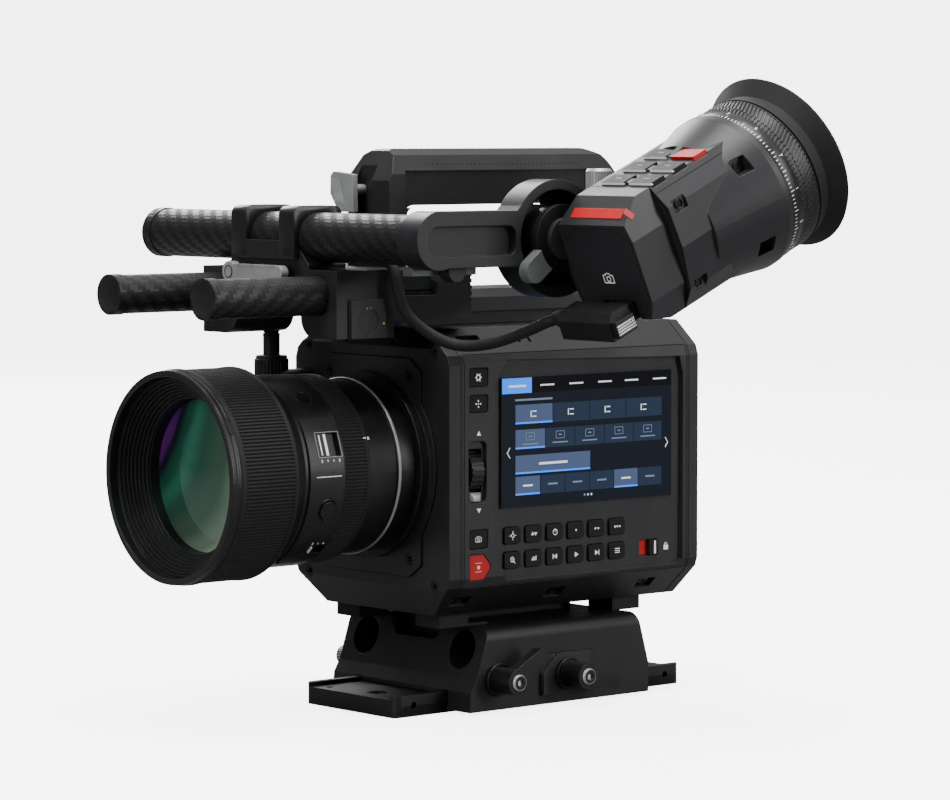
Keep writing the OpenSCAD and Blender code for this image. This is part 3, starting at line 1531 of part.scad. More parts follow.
module focus_switch() {
  f = focus_switch_size;
  low = switch_floor + slip;
  color(silver) on_lens(f[0], f[1])
    block([low, -f[2] + slip, -f[3] + slip], [low + f[6], -f[2] + slip + 2 * f[4], f[3] - slip]);
}
module click_switch() {
  c = click_size;
  low = switch_floor + slip;
  color(rubber) on_lens(c[0], c[1])
    block([low, -c[2] + slip, -c[3] + slip], [low + c[6], -c[2] + slip + 2 * c[4], c[3] - slip]);
}
module hold_button() {
  h = hold_size;
  color(rubber) on_lens(h[0], h[1])
    rod_x(h[2], switch_floor + h[3] + slip, switch_ring[0] + pad_size[0] + h[4] / 2, 0, 0);
}

// Cable and its plug at the camera

module camera_plug() {
  p = plug_size;
  e = plug_ends;
  z = lens_high + p[1];
  y = -body_front - plug_ahead;
  color(rubber) {
    rod_z(p[2], z - e[2], lens_high + e[0], p[0], y);
    rod_z(p[3], lens_high + e[0] - past, lens_high + e[1], p[0], y);
    rod_y(
      camera_port[0], y, -body_front + camera_port[1] - slip,
      p[0] + camera_port[0] - 1.5 * past, z
    );
  }
}

function bezier(a, b, c, t) = (1 - t) * (1 - t) * a + 2 * t * (1 - t) * b + t * t * c;
function middle(i) = (cable_route[i] + cable_route[i + 1]) / 2;
// Points of the smooth route
steps = 3;
smooth_route = concat(
  [cable_route[0]],
  [
    for (i = [1:len(cable_route) - 2], k = [0:steps])
      if (k > 0 || i == 1)
        bezier(middle(i - 1), cable_route[i], middle(i), k / steps)
  ],
  [cable_route[len(cable_route) - 1]]
);
function heading(i) = let (
  d = smooth_route[min(i + 1, len(smooth_route) - 1)] - smooth_route[max(i - 1, 0)]
) d / norm(d);
function ring(i) = let (
  d = heading(i),
  side = cross(d, [0, 1, 0.2]),
  u = side / norm(side),
  v = cross(d, u)
) [
  for (k = [0:cable_sides - 1])
    smooth_route[i] + cable_width / 2 * (
      u * cos(360 * k / cable_sides) + v * sin(360 * k / cable_sides)
    )
];

module viewfinder_cable() {
  n = len(smooth_route);
  points = [for (i = [0:n - 1]) each ring(i)];
  sides = [
    for (i = [0:n - 2], k = [0:cable_sides - 1])
      [
        i * cable_sides + k, i * cable_sides + (k + 1) % cable_sides,
        (i + 1) * cable_sides + (k + 1) % cable_sides, (i + 1) * cable_sides + k
      ]
  ];
  triangles = [for (f = sides) each [[f[0], f[1], f[2]], [f[0], f[2], f[3]]]];
  ends = [
    [for (k = [cable_sides - 1:-1:0]) k],
    [for (k = [0:cable_sides - 1]) (n - 1) * cable_sides + k]
  ];
  color(rubber) polyhedron(points, concat(triangles, ends));
}

dovetail_plate();
base_block();
base_lever();
clamp_pad();
jaw_lever();
foot_pads();
chassis();
front_plate();
mount_plate();
side_panel();
display();
rear_panel();
far_panel();
battery_plate();
sensor_block();
main_board();
fan_rotor();
body_screws();
top_rail();
rod_block();
handle_frame();
handle_grip();
handle_paddle();
lower_rods();
camera_plug();
lens_barrel();
lens_elements();
focus_ring();
aperture_ring();
focus_switch();
hold_button();
click_switch();
menu_key();
focus_key();
still_key();
record_key();
keys_upper_row();
keys_lower_row();
thumb_wheel();
lock_slider();
carriage();
carriage_lever();
cross_rod();
viewfinder_arm();
arm_lever();
tilt_lever();
lock_knob();
viewfinder_front();
viewfinder_shell();
viewfinder_eyepiece();
viewfinder_plug();
dioptre_ring();
eyecup();
finder_key_front_left();
finder_key_front_right();
finder_key_middle_left();
finder_key_middle_right();
finder_key_rear_left();
finder_record_key();
viewfinder_cable();
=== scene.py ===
import bpy
import bmesh
import math
from mathutils import Matrix, Vector


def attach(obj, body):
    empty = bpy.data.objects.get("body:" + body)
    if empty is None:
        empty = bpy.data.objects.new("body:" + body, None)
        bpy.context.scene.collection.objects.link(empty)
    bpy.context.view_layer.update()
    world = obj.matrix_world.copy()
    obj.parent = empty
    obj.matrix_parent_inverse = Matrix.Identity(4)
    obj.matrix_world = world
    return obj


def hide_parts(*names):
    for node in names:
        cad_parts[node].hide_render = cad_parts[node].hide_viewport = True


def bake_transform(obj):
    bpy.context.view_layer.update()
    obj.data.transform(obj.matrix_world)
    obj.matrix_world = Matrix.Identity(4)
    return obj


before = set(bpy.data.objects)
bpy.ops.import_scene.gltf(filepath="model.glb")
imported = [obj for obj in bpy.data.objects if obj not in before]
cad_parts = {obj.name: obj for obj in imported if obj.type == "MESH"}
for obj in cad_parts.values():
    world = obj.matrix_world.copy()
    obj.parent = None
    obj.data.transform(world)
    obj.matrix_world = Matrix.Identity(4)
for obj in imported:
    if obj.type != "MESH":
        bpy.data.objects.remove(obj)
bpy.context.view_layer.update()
mm = 0.001
# main axes in mm: height of the lens and of the side rods, y and z of cross rod and tilt axis, finder's lean
lensHigh = 97.5
rodHigh = 166.3
crossY, crossZ = -107, 188.2
tiltY, tiltZ = -48.7, 188.2
finderLean = 24


# camera and stage

def makeCamera():
    data = bpy.data.cameras.new("photoCamera")
    data.lens = 148.918
    data.sensor_width = 36.0
    data.clip_start = 0.05
    data.clip_end = 50
    holder = bpy.data.objects.new("photoCamera", data)
    bpy.context.scene.collection.objects.link(holder)
    holder.location = (1.20196, -1.04268, 0.22996)
    holder.rotation_euler = (math.radians(90 - 3.961), 0, math.radians(49.362))
    bpy.context.scene.camera = holder
    print("camera placed")


def addSoftbox(name, place, target, size, power):
    data = bpy.data.lights.new(name, "AREA")
    data.shape = "RECTANGLE"
    data.size, data.size_y = size
    data.energy = power
    lamp = bpy.data.objects.new(name, data)
    bpy.context.scene.collection.objects.link(lamp)
    lamp.location = place
    lamp.rotation_euler = (Vector(target) - Vector(place)).to_track_quat("-Z", "Y").to_euler()


def makeStage():
    # floor: its colour as seen and as it lights the object; bowl: height and radius where the floor runs up
    stage = {"floor": (0.9, 0.9, 0.9), "seen": 4.5, "bounce": (0.16, 0.16, 0.165), "air": 1.1,
             "bowl": [(0, 0.4), (0, 2.3), (0.03, 2.6), (0.16, 2.95), (0.5, 3.3), (1.1, 3.5), (2.4, 3.55)]}
    world = bpy.context.scene.world or bpy.data.worlds.new("studio")
    bpy.context.scene.world = world
    world.use_nodes = True
    air = world.node_tree.nodes["Background"]
    air.inputs["Color"].default_value = (1, 1, 1, 1)
    air.inputs["Strength"].default_value = stage["air"]
    bpy.ops.mesh.primitive_circle_add(vertices=96, radius=stage["bowl"][0][1], fill_type="NGON")
    floor = bpy.context.object
    floor.name = "studioFloor"
    bpy.ops.object.mode_set(mode="EDIT")
    pickEdges(floor, lambda e: e.is_boundary)
    for (z0, r0), (z1, r1) in zip(stage["bowl"], stage["bowl"][1:]):
        bpy.ops.mesh.extrude_region_move(TRANSFORM_OT_translate={"value": (0, 0, z1 - z0)})
        bpy.ops.transform.resize(value=(r1 / r0, r1 / r0, 1), center_override=(0, 0, z1))
    bpy.ops.mesh.select_all(action="SELECT")
    bpy.ops.mesh.normals_make_consistent(inside=True)
    bpy.ops.object.mode_set(mode="OBJECT")
    bpy.ops.object.shade_smooth()
    paint = bpy.data.materials.new("paleFloor")
    paint.use_nodes = True
    # the floor looks white, and throws little of the light back on the black camera
    tree = paint.node_tree
    path = addNode(tree, "LightPath").outputs["Is Camera Ray"]
    tone = addNode(tree, "Mix", {"data_type": "RGBA"}, {6: (*stage["bounce"], 1), 7: (*stage["floor"], 1)},
                   {0: path})
    glow = mathNode(tree, "MULTIPLY", path, stage["seen"])
    feed(tree, tree.nodes["Principled BSDF"],
         {"Emission Color": (1, 1, 1, 1), "Roughness": 0.7, "Specular IOR Level": 0.1},
         {"Base Color": tone.outputs[2], "Emission Strength": glow})
    floor.data.materials.append(paint)
    middle = (0.02, -0.02, 0.12)
    addSoftbox("topLight", (0.25, -0.1, 1.7), middle, (1.1, 0.8), 46)
    addSoftbox("operatorSideLight", (1.9, 0.9, 0.9), middle, (0.5, 1.5), 34)
    addSoftbox("lensSideLight", (0.3, -2.1, 1.0), middle, (0.5, 1.4), 30)
    addSoftbox("farSideLight", (-1.7, 0.6, 1.1), middle, (0.8, 1.2), 42)
    print("stage and lights placed")


# helpers for materials

def feed(tree, node, values, wires):
    # the inputs of a node: plain values, and outputs of other nodes
    for key, value in values.items():
        node.inputs[key].default_value = value
    for key, source in wires.items():
        tree.links.new(source, node.inputs[key])


def addNode(tree, kind, settings=None, values=None, wires=None):
    node = tree.nodes.new("ShaderNode" + kind)
    for key, value in (settings or {}).items():
        setattr(node, key, value)
    feed(tree, node, values or {}, wires or {})
    return node


def mathNode(tree, operation, first, second=None):
    node = addNode(tree, "Math", {"operation": operation})
    for place, value in ((0, first), (1, second)):
        if value is None:
            continue
        if isinstance(value, (int, float)):
            node.inputs[place].default_value = value
        else:
            tree.links.new(value, node.inputs[place])
    return node.outputs[0]


def startFinish(name):
    finish = bpy.data.materials.new(name)
    finish.use_nodes = True
    tree = finish.node_tree
    shader = tree.nodes["Principled BSDF"]
    coords = addNode(tree, "TexCoord").outputs["Object"]
    return finish, tree, shader, coords


def noise(tree, coords, scale, detail, roughness=0.5):
    values = {"Scale": scale, "Detail": detail, "Roughness": roughness}
    return addNode(tree, "TexNoise", {}, values, {"Vector": coords}).outputs["Fac"]


def spread(tree, source, low, high, start=0, end=1):
    # a value from start..end taken to low..high
    values = {"From Min": start, "From Max": end, "To Min": low, "To Max": high}
    return addNode(tree, "MapRange", {}, values, {"Value": source}).outputs["Result"]


def twoTone(tree, source, first, second, start=0, end=1):
    ramp = addNode(tree, "ValToRGB", {}, {}, {"Fac": source})
    for stop, place, colour in zip(ramp.color_ramp.elements, (start, end), (first, second)):
        stop.position = place
        stop.color = (*colour, 1)
    return ramp.outputs["Color"]


def makeFinish(name, look):
    # look: two colours, roughness from and to, size of patches and grain in mm, depth of the grain,
    # soft edge in mm, wear of the edges and its colour, metal or not, and where wanted shine and a hub
    finish, tree, shader, coords = startFinish(name)
    patches = noise(tree, coords, 1000 / look["patch"], 5, 0.6)
    grain = noise(tree, coords, 1000 / look["grain"], 3)
    paint = twoTone(tree, patches, look["colour"], look["second"], 0.3, 0.7)
    soft = addNode(tree, "Bevel", {"samples": 4}, {"Radius": look["edge"] * mm}).outputs["Normal"]
    bump = addNode(tree, "Bump", {}, {"Strength": look["depth"], "Distance": 0.2 * mm},
                   {"Height": grain, "Normal": soft})
    flat = addNode(tree, "NewGeometry").outputs["Normal"]
    turned = addNode(tree, "VectorMath", {"operation": "DOT_PRODUCT"}, {},
                     {0: soft, 1: flat}).outputs["Value"]
    rubbed = mathNode(tree, "MULTIPLY", spread(tree, turned, 0, look["wear"], 0.985, 0.86), grain)
    if "hub" in look:
        # the hub of a lever: y and z of its axis, radius and colour
        y, z, radius, colour = look["hub"]
        split = addNode(tree, "SeparateXYZ", {}, {}, {"Vector": coords})
        y = mathNode(tree, "SUBTRACT", split.outputs["Y"], y * mm)
        z = mathNode(tree, "SUBTRACT", split.outputs["Z"], z * mm)
        square = mathNode(tree, "ADD", mathNode(tree, "MULTIPLY", y, y), mathNode(tree, "MULTIPLY", z, z))
        inside = mathNode(tree, "LESS_THAN", mathNode(tree, "SQRT", square), radius * mm)
        hub = addNode(tree, "Mix", {"data_type": "RGBA"}, {7: (*colour, 1)}, {0: inside, 6: paint})
        paint = hub.outputs[2]
    mix = addNode(tree, "Mix", {"data_type": "RGBA"}, {7: (*look["worn"], 1)}, {0: rubbed, 6: paint})
    feed(tree, shader, {"Metallic": look.get("metal", 0), "Specular IOR Level": look.get("shine", 0.3)},
         {"Base Color": mix.outputs[2], "Roughness": spread(tree, patches, *look["rough"], 0.25, 0.75),
          "Normal": bump.outputs["Normal"]})
    return finish


def makeCarbon(name, axis, centre, radius):
    # twill cloth wound round a tube: along is its axis, the other way is the angle round it
    finish, tree, shader, coords = startFinish(name)
    weave = {"tow": 1.9, "dark": (0.0022, 0.0022, 0.0025), "light": (0.012, 0.0124, 0.0135)}
    split = addNode(tree, "SeparateXYZ", {}, {}, {"Vector": coords})
    first, second = {"X": ("Y", "Z"), "Y": ("X", "Z")}[axis]
    side = split.outputs[first]
    if axis == "Y":
        side = mathNode(tree, "ABSOLUTE", side)
    side = mathNode(tree, "SUBTRACT", side, centre[0] * mm)
    high = mathNode(tree, "SUBTRACT", split.outputs[second], centre[1] * mm)
    tows = round(2 * math.pi * radius / weave["tow"] / 4) * 4
    across = mathNode(tree, "MULTIPLY", mathNode(tree, "ARCTAN2", side, high), tows / (2 * math.pi))
    along = mathNode(tree, "MULTIPLY", split.outputs[axis], 1000 / weave["tow"])
    both = mathNode(tree, "ADD", mathNode(tree, "FLOOR", along), mathNode(tree, "FLOOR", across))
    over = mathNode(tree, "LESS_THAN", mathNode(tree, "FLOORED_MODULO", both, 4.0), 1.5)
    crown = addNode(tree, "Mix", {"data_type": "FLOAT"}, {},
                    {0: over, 2: mathNode(tree, "FRACT", along), 3: mathNode(tree, "FRACT", across)})
    fibres = addNode(tree, "TexNoise", {}, {"Scale": 2600, "Detail": 2}, {"Vector": coords})
    shade = addNode(tree, "Mix", {"data_type": "RGBA"}, {6: (*weave["dark"], 1), 7: (*weave["light"], 1)},
                    {0: over})
    fleck = addNode(tree, "Mix", {"data_type": "RGBA", "blend_type": "MULTIPLY"}, {0: 0.5},
                    {6: shade.outputs[2], 7: fibres.outputs["Color"]})
    bump = addNode(tree, "Bump", {}, {"Strength": 0.35, "Distance": 0.4 * mm},
                   {"Height": mathNode(tree, "PINGPONG", crown.outputs[0], 0.5)})
    feed(tree, shader, {"Specular IOR Level": 0.28},
         {"Base Color": fleck.outputs[2], "Roughness": spread(tree, over, 0.6, 0.42),
          "Normal": bump.outputs["Normal"]})
    return finish


def makeGrip(name):
    # leather-like grip with a slanting rib
    finish, tree, shader, coords = startFinish(name)
    turn = addNode(tree, "Mapping", {}, {"Rotation": (math.radians(45), 0, 0)}, {"Vector": coords})
    ribs = addNode(tree, "TexWave", {"wave_type": "BANDS", "bands_direction": "Y"},
                   {"Scale": 330, "Distortion": 0.4, "Detail": 2}, {"Vector": turn.outputs["Vector"]})
    pores = addNode(tree, "TexVoronoi", {}, {"Scale": 900}, {"Vector": coords}).outputs["Distance"]
    bump = addNode(tree, "Bump", {}, {"Strength": 0.45, "Distance": 0.2 * mm},
                   {"Height": mathNode(tree, "ADD", ribs.outputs["Fac"], pores)})
    tone = twoTone(tree, ribs.outputs["Fac"], (0.004, 0.004, 0.0045), (0.009, 0.009, 0.0095))
    feed(tree, shader, {"Specular IOR Level": 0.25},
         {"Base Color": tone, "Roughness": spread(tree, pores, 0.5, 0.75), "Normal": bump.outputs["Normal"]})
    return finish


def makeGlass(name, look):
    # look: two colours, roughness, and where wanted shine, bend of the light, coat, tint and film in nm
    finish, tree, shader, coords = startFinish(name)
    haze = noise(tree, coords, 60, 4)
    tint = (*look.get("tint", (1, 1, 1)), 1)
    feed(tree, shader,
         {"IOR": look.get("bend", 1.5), "Specular IOR Level": look.get("shine", 0.5), "Specular Tint": tint,
          "Coat Weight": look.get("coat", 0), "Coat Tint": tint, "Coat Roughness": 0.02,
          "Thin Film Thickness": look.get("film", 0), "Thin Film IOR": 1.38},
         {"Base Color": twoTone(tree, haze, look["colour"], look["second"]),
          "Roughness": spread(tree, haze, look["rough"], look["rough"] + 0.03)})
    return finish


def makeFrontCoatPaintedReflection(name):
    # the coated front element, its colours painted reflections: violet at its far upper rim, deep green, then
    # a pale painted reflection at the near lower rim, with a faint painted glow
    finish, tree, shader, coords = startFinish(name)
    # radius of the glass, turn and bow of its bands, its painted glow, and the painted reflection colours
    # from rim to rim
    coat = {"radius": 29.5, "lean": -32, "bow": 17, "glow": 0.5,
            "colours": [(0.0, (0.040, 0.006, 0.062)), (0.09, (0.030, 0.006, 0.048)),
                        (0.15, (0.004, 0.004, 0.008)), (0.27, (0.005, 0.030, 0.019)),
                        (0.38, (0.010, 0.062, 0.040)), (0.52, (0.010, 0.034, 0.023)),
                        (0.72, (0.022, 0.042, 0.029)), (0.9, (0.070, 0.098, 0.072)),
                        (1.0, (0.17, 0.22, 0.17))]}
    split = addNode(tree, "SeparateXYZ", {}, {}, {"Vector": coords})
    wide, high = split.outputs["X"], mathNode(tree, "SUBTRACT", split.outputs["Z"], lensHigh * mm)
    c, s = math.cos(math.radians(coat["lean"])), math.sin(math.radians(coat["lean"]))
    along = mathNode(tree, "ADD", mathNode(tree, "MULTIPLY", wide, c), mathNode(tree, "MULTIPLY", high, s))
    side = mathNode(tree, "ADD", mathNode(tree, "MULTIPLY", wide, -s), mathNode(tree, "MULTIPLY", high, c))
    bow = mathNode(tree, "MULTIPLY", mathNode(tree, "MULTIPLY", side, side), coat["bow"])
    bent = mathNode(tree, "ADD", mathNode(tree, "ADD", along, bow), coat["radius"] * mm)
    share = mathNode(tree, "DIVIDE", bent, 2 * coat["radius"] * mm)
    haze = noise(tree, coords, 70, 3)
    drift = mathNode(tree, "MULTIPLY", mathNode(tree, "SUBTRACT", haze, 0.5), 0.05)
    ramp = addNode(tree, "ValToRGB", {}, {}, {"Fac": mathNode(tree, "ADD", share, drift)})
    ramp.color_ramp.interpolation = "EASE"
    for k, (place, colour) in enumerate(coat["colours"]):
        stop = ramp.color_ramp.elements[k] if k < 2 else ramp.color_ramp.elements.new(place)
        stop.position = place
        stop.color = (*colour, 1)
    # the painted reflection colours also feed the emission: a faint painted glow of the glass
    feed(tree, shader,
         {"Emission Strength": coat["glow"], "Specular IOR Level": 0.4, "Specular Tint": (0.55, 1.0, 0.8, 1)},
         {"Base Color": ramp.outputs["Color"], "Emission Color": ramp.outputs["Color"],
          "Roughness": spread(tree, haze, 0.04, 0.09)})
    return finish


def makeLit(name, colour, strength):
    # a lit patch of the screen: a little of its own light over a fine dot raster
    finish, tree, shader, coords = startFinish(name)
    tone = twoTone(tree, noise(tree, coords, 3000, 1), tuple(c * 0.92 for c in colour), colour)
    feed(tree, shader, {"Emission Strength": strength, "Roughness": 0.35, "Specular IOR Level": 0.15},
         {"Base Color": tone, "Emission Color": tone})
    return finish


printLook = dict(rough=(0.5, 0.6), patch=3, grain=0.2, depth=0.1, edge=0.05, wear=0.0)
looks = {
    "bodyPaint": dict(colour=(0.0085, 0.0087, 0.0095), second=(0.0115, 0.0118, 0.0128), rough=(0.34, 0.44),
                      patch=18, grain=0.35, depth=0.14, edge=0.5, wear=0.35, worn=(0.06, 0.06, 0.063)),
    "panelPaint": dict(colour=(0.0125, 0.0128, 0.0142), second=(0.0165, 0.0168, 0.0185), rough=(0.36, 0.46),
                       patch=22, grain=0.35, depth=0.13, edge=0.5, wear=0.35, worn=(0.07, 0.07, 0.074)),
    "blackAnodised": dict(colour=(0.0045, 0.0045, 0.005), second=(0.007, 0.007, 0.0075), rough=(0.28, 0.4),
                          patch=14, grain=0.22, depth=0.1, edge=0.35, wear=0.4, worn=(0.06, 0.06, 0.062),
                          shine=0.35),
    "silverMetal": dict(colour=(0.27, 0.28, 0.28), second=(0.35, 0.36, 0.36), rough=(0.30, 0.42), patch=9,
                        grain=0.25, depth=0.2, edge=0.3, wear=0.6, worn=(0.8, 0.8, 0.8), metal=0.45),
    "brightScrew": dict(colour=(0.62, 0.63, 0.64), second=(0.74, 0.75, 0.76), rough=(0.16, 0.28), patch=4,
                        grain=0.15, depth=0.1, edge=0.15, wear=0.3, worn=(0.9, 0.9, 0.9), metal=0.4),
    "leverGreen": dict(colour=(0.085, 0.095, 0.092), second=(0.11, 0.12, 0.117), rough=(0.36, 0.46), patch=8,
                       grain=0.3, depth=0.2, edge=0.35, wear=0.6, worn=(0.45, 0.46, 0.45), metal=0.5),
    "tiltGreen": dict(colour=(0.085, 0.095, 0.092), second=(0.11, 0.12, 0.117), rough=(0.36, 0.46), patch=8,
                      grain=0.3, depth=0.2, edge=0.35, wear=0.25, worn=(0.2, 0.2, 0.2), metal=0.2,
                      hub=(tiltY, tiltZ, 13.3, (0.006, 0.006, 0.0065))),
    "blackScrews": dict(colour=(0.010, 0.010, 0.011), second=(0.016, 0.016, 0.017), rough=(0.26, 0.36),
                        patch=4, grain=0.15, depth=0.1, edge=0.15, wear=0.7, worn=(0.2, 0.2, 0.2), metal=0.6),
    "blackPlastic": dict(colour=(0.005, 0.005, 0.0053), second=(0.008, 0.008, 0.0083), rough=(0.40, 0.5),
                         patch=12, grain=0.28, depth=0.2, edge=0.35, wear=0.2, worn=(0.06, 0.06, 0.06)),
    "keyPlastic": dict(shine=0.12, colour=(0.0075, 0.0075, 0.008), second=(0.0105, 0.0105, 0.011),
                       rough=(0.45, 0.55), patch=7, grain=0.2, depth=0.15, edge=0.3, wear=0.3,
                       worn=(0.09, 0.09, 0.09)),
    "recordRed": dict(colour=(0.34, 0.0012, 0.0022), second=(0.39, 0.0016, 0.003), rough=(0.36, 0.46),
                      patch=7, grain=0.2, depth=0.12, edge=0.3, wear=0.2, worn=(0.8, 0.12, 0.12)),
    "blackRubber": dict(colour=(0.0045, 0.0045, 0.0047), second=(0.007, 0.007, 0.0073), rough=(0.62, 0.78),
                        patch=10, grain=0.4, depth=0.35, edge=0.5, wear=0.1, worn=(0.04, 0.04, 0.04)),
    "boardGreen": dict(colour=(0.02, 0.10, 0.05), second=(0.03, 0.14, 0.07), rough=(0.35, 0.5), patch=5,
                       grain=0.5, depth=0.3, edge=0.2, wear=0.0, worn=(0.3, 0.3, 0.2)),
    "whitePrint": dict(printLook, colour=(0.86, 0.86, 0.87), second=(0.92, 0.92, 0.93), worn=(0.5, 0.5, 0.5)),
    "greyPrint": dict(printLook, colour=(0.25, 0.25, 0.26), second=(0.32, 0.32, 0.33), worn=(0.3, 0.3, 0.3)),
    "palePrint": dict(printLook, colour=(0.8, 0.5, 0.5), second=(0.85, 0.55, 0.55), worn=(0.5, 0.5, 0.5)),
    "stripeRed": dict(colour=(0.36, 0.0010, 0.0018), second=(0.42, 0.0014, 0.0024), rough=(0.32, 0.4),
                      patch=9, grain=0.2, depth=0.08, edge=0.2, wear=0.1, worn=(0.9, 0.2, 0.2)),
    "lampOrange": dict(colour=(0.8, 0.3, 0.02), second=(0.9, 0.36, 0.03), rough=(0.3, 0.4), patch=3,
                       grain=0.2, depth=0.05, edge=0.1, wear=0.0, worn=(0.9, 0.5, 0.2)),
    "contactGold": dict(colour=(0.75, 0.5, 0.18), second=(0.82, 0.58, 0.24), rough=(0.2, 0.3), patch=3,
                        grain=0.2, depth=0.05, edge=0.1, wear=0.0, worn=(0.9, 0.8, 0.5), metal=1.0),
    "seamShadow": dict(colour=(0.003, 0.003, 0.003), second=(0.005, 0.005, 0.005), rough=(0.7, 0.8), patch=3,
                       grain=0.2, depth=0.1, edge=0.05, wear=0.0, worn=(0.01, 0.01, 0.01)),
}
finishes = {}


def makeFinishes():
    for name, look in looks.items():
        finishes[name] = makeFinish(name, look)
    finishes["carbonSide"] = makeCarbon("carbonSide", "Y", (30, rodHigh), 7.5)
    finishes["carbonCross"] = makeCarbon("carbonCross", "X", (crossY, crossZ), 9.5)
    finishes["gripLeather"] = makeGrip("gripLeather")
    finishes["frontCoatPaintedReflection"] = makeFrontCoatPaintedReflection("frontCoatPaintedReflection")
    glasses = {
        "deepGlass": dict(colour=(0.002, 0.006, 0.005), second=(0.003, 0.010, 0.007), rough=0.02, film=330,
                          bend=1.7, tint=(0.5, 1.0, 0.7), coat=0.3),
        "screenGlass": dict(colour=(0.0015, 0.002, 0.004), second=(0.002, 0.003, 0.006), rough=0.12,
                            shine=0.25),
        "eyeGlass": dict(colour=(0.003, 0.003, 0.006), second=(0.005, 0.005, 0.010), rough=0.02, film=380,
                         bend=1.7, tint=(0.7, 0.6, 1.0), coat=0.4),
    }
    for name, look in glasses.items():
        finishes[name] = makeGlass(name, look)
    screen = {"screenNavy": (0.002, 0.0035, 0.008), "screenSlate": (0.010, 0.018, 0.037),
              "screenLight": (0.045, 0.065, 0.13), "screenBlue": (0.02, 0.22, 0.95),
              "screenWhite": (0.62, 0.64, 0.67), "screenGrey": (0.12, 0.15, 0.21)}
    for name, colour in screen.items():
        finishes[name] = makeLit(name, colour, 0.8)
    print("finishes made:", len(finishes))


nodeFinish = {
    "bodyPaint": "chassis front_plate mount_plate rod_block handle_frame carriage viewfinder_arm base_block",
    "panelPaint": "side_panel rear_panel far_panel top_rail viewfinder_front viewfinder_shell clamp_pad",
    "blackAnodised": "dovetail_plate base_lever jaw_lever lens_barrel dioptre_ring thumb_wheel "
                     "focus_ring aperture_ring",
    "silverMetal": "carriage_lever handle_paddle lock_knob sensor_block",
    "leverGreen": "arm_lever",
    "tiltGreen": "tilt_lever",
    "blackScrews": "body_screws",
    "blackPlastic": "battery_plate fan_rotor camera_plug viewfinder_plug focus_switch hold_button "
                    "click_switch",
    "keyPlastic": "menu_key focus_key still_key keys_upper_row keys_lower_row lock_slider "
                  "finder_key_front_left finder_key_front_right finder_key_middle_left "
                  "finder_key_middle_right finder_key_rear_left",
    "recordRed": "record_key finder_record_key",
    "blackRubber": "foot_pads eyecup viewfinder_cable",
    "boardGreen": "main_board",
    "gripLeather": "handle_grip",
    "carbonCross": "cross_rod",
    "carbonSide": "lower_rods",
    "deepGlass": "lens_elements",
    "eyeGlass": "viewfinder_eyepiece",
    "screenGlass": "display",
}


def paintNodes():
    for finish, names in nodeFinish.items():
        for name in names.split():
            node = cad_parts[name]
            for slot in node.material_slots:
                slot.material = finishes[finish]
    print("CAD nodes painted")


# helpers for modelling

def clearAll():
    if bpy.context.object and bpy.context.object.mode != "OBJECT":
        bpy.ops.object.mode_set(mode="OBJECT")
    bpy.ops.object.select_all(action="DESELECT")
    # a bare circle can't be picked by faces
    bpy.context.tool_settings.mesh_select_mode = (True, False, False)


def makeActive(piece):
    clearAll()
    piece.select_set(True)
    bpy.context.view_layer.objects.active = piece


def pickFaces(piece, test):
    bpy.ops.mesh.select_mode(type="FACE")
    bpy.ops.mesh.select_all(action="DESELECT")
    shape = bmesh.from_edit_mesh(piece.data)
    for face in shape.faces:
        if test(face):
            face.select_set(True)
    bmesh.update_edit_mesh(piece.data)


def pickEdges(piece, test):
    bpy.ops.mesh.select_mode(type="EDGE")
    bpy.ops.mesh.select_all(action="DESELECT")
    shape = bmesh.from_edit_mesh(piece.data)
    for edge in shape.edges:
        if test(edge):
            edge.select_set(True)
    bmesh.update_edit_mesh(piece.data)


def placeFrame(spot, right, up):
    # a matrix whose X is right, Y is up and Z stands off the surface; spot in mm
    x, y = Vector(right).normalized(), Vector(up).normalized()
    z = x.cross(y)
    turn = Matrix((x, y, z)).transposed().to_4x4()
    return Matrix.Translation(Vector(spot) * mm) @ turn


def sidePlace(x, y, z):
    # a place on the operator's side, read with the lens on the left
    return placeFrame((x, y, z), (0, 1, 0), (0, 0, 1))


def farPlace(x, y, z):
    return placeFrame((x, y, z), (0, -1, 0), (0, 0, 1))


def frontPlace(x, y, z):
    return placeFrame((x, y, z), (1, 0, 0), (0, 0, 1))


def finishPiece(piece, name, finish, body, smooth=30, bevel=0, place=None):
    makeActive(piece)
    if place is not None:
        piece.matrix_world = place @ piece.matrix_world
    bpy.ops.object.transform_apply(location=True, rotation=True, scale=True)
    bpy.ops.object.mode_set(mode="EDIT")
    bpy.ops.mesh.select_all(action="SELECT")
    bpy.ops.mesh.remove_doubles(threshold=0.000002)
    bpy.ops.mesh.normals_make_consistent(inside=False)
    bpy.ops.object.mode_set(mode="OBJECT")
    if bevel:
        soft = piece.modifiers.new("softEdges", "BEVEL")
        soft.width = bevel * mm
        soft.segments = 2
        soft.limit_method = "ANGLE"
        soft.angle_limit = math.radians(32)
        bpy.ops.object.modifier_apply(modifier=soft.name)
    if smooth:
        bpy.ops.object.shade_smooth_by_angle(angle=math.radians(smooth))
    piece.name = name
    piece.data.name = name
    piece.data.materials.clear()
    piece.data.materials.append(finishes[finish])
    if body:
        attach(piece, body)
    return piece


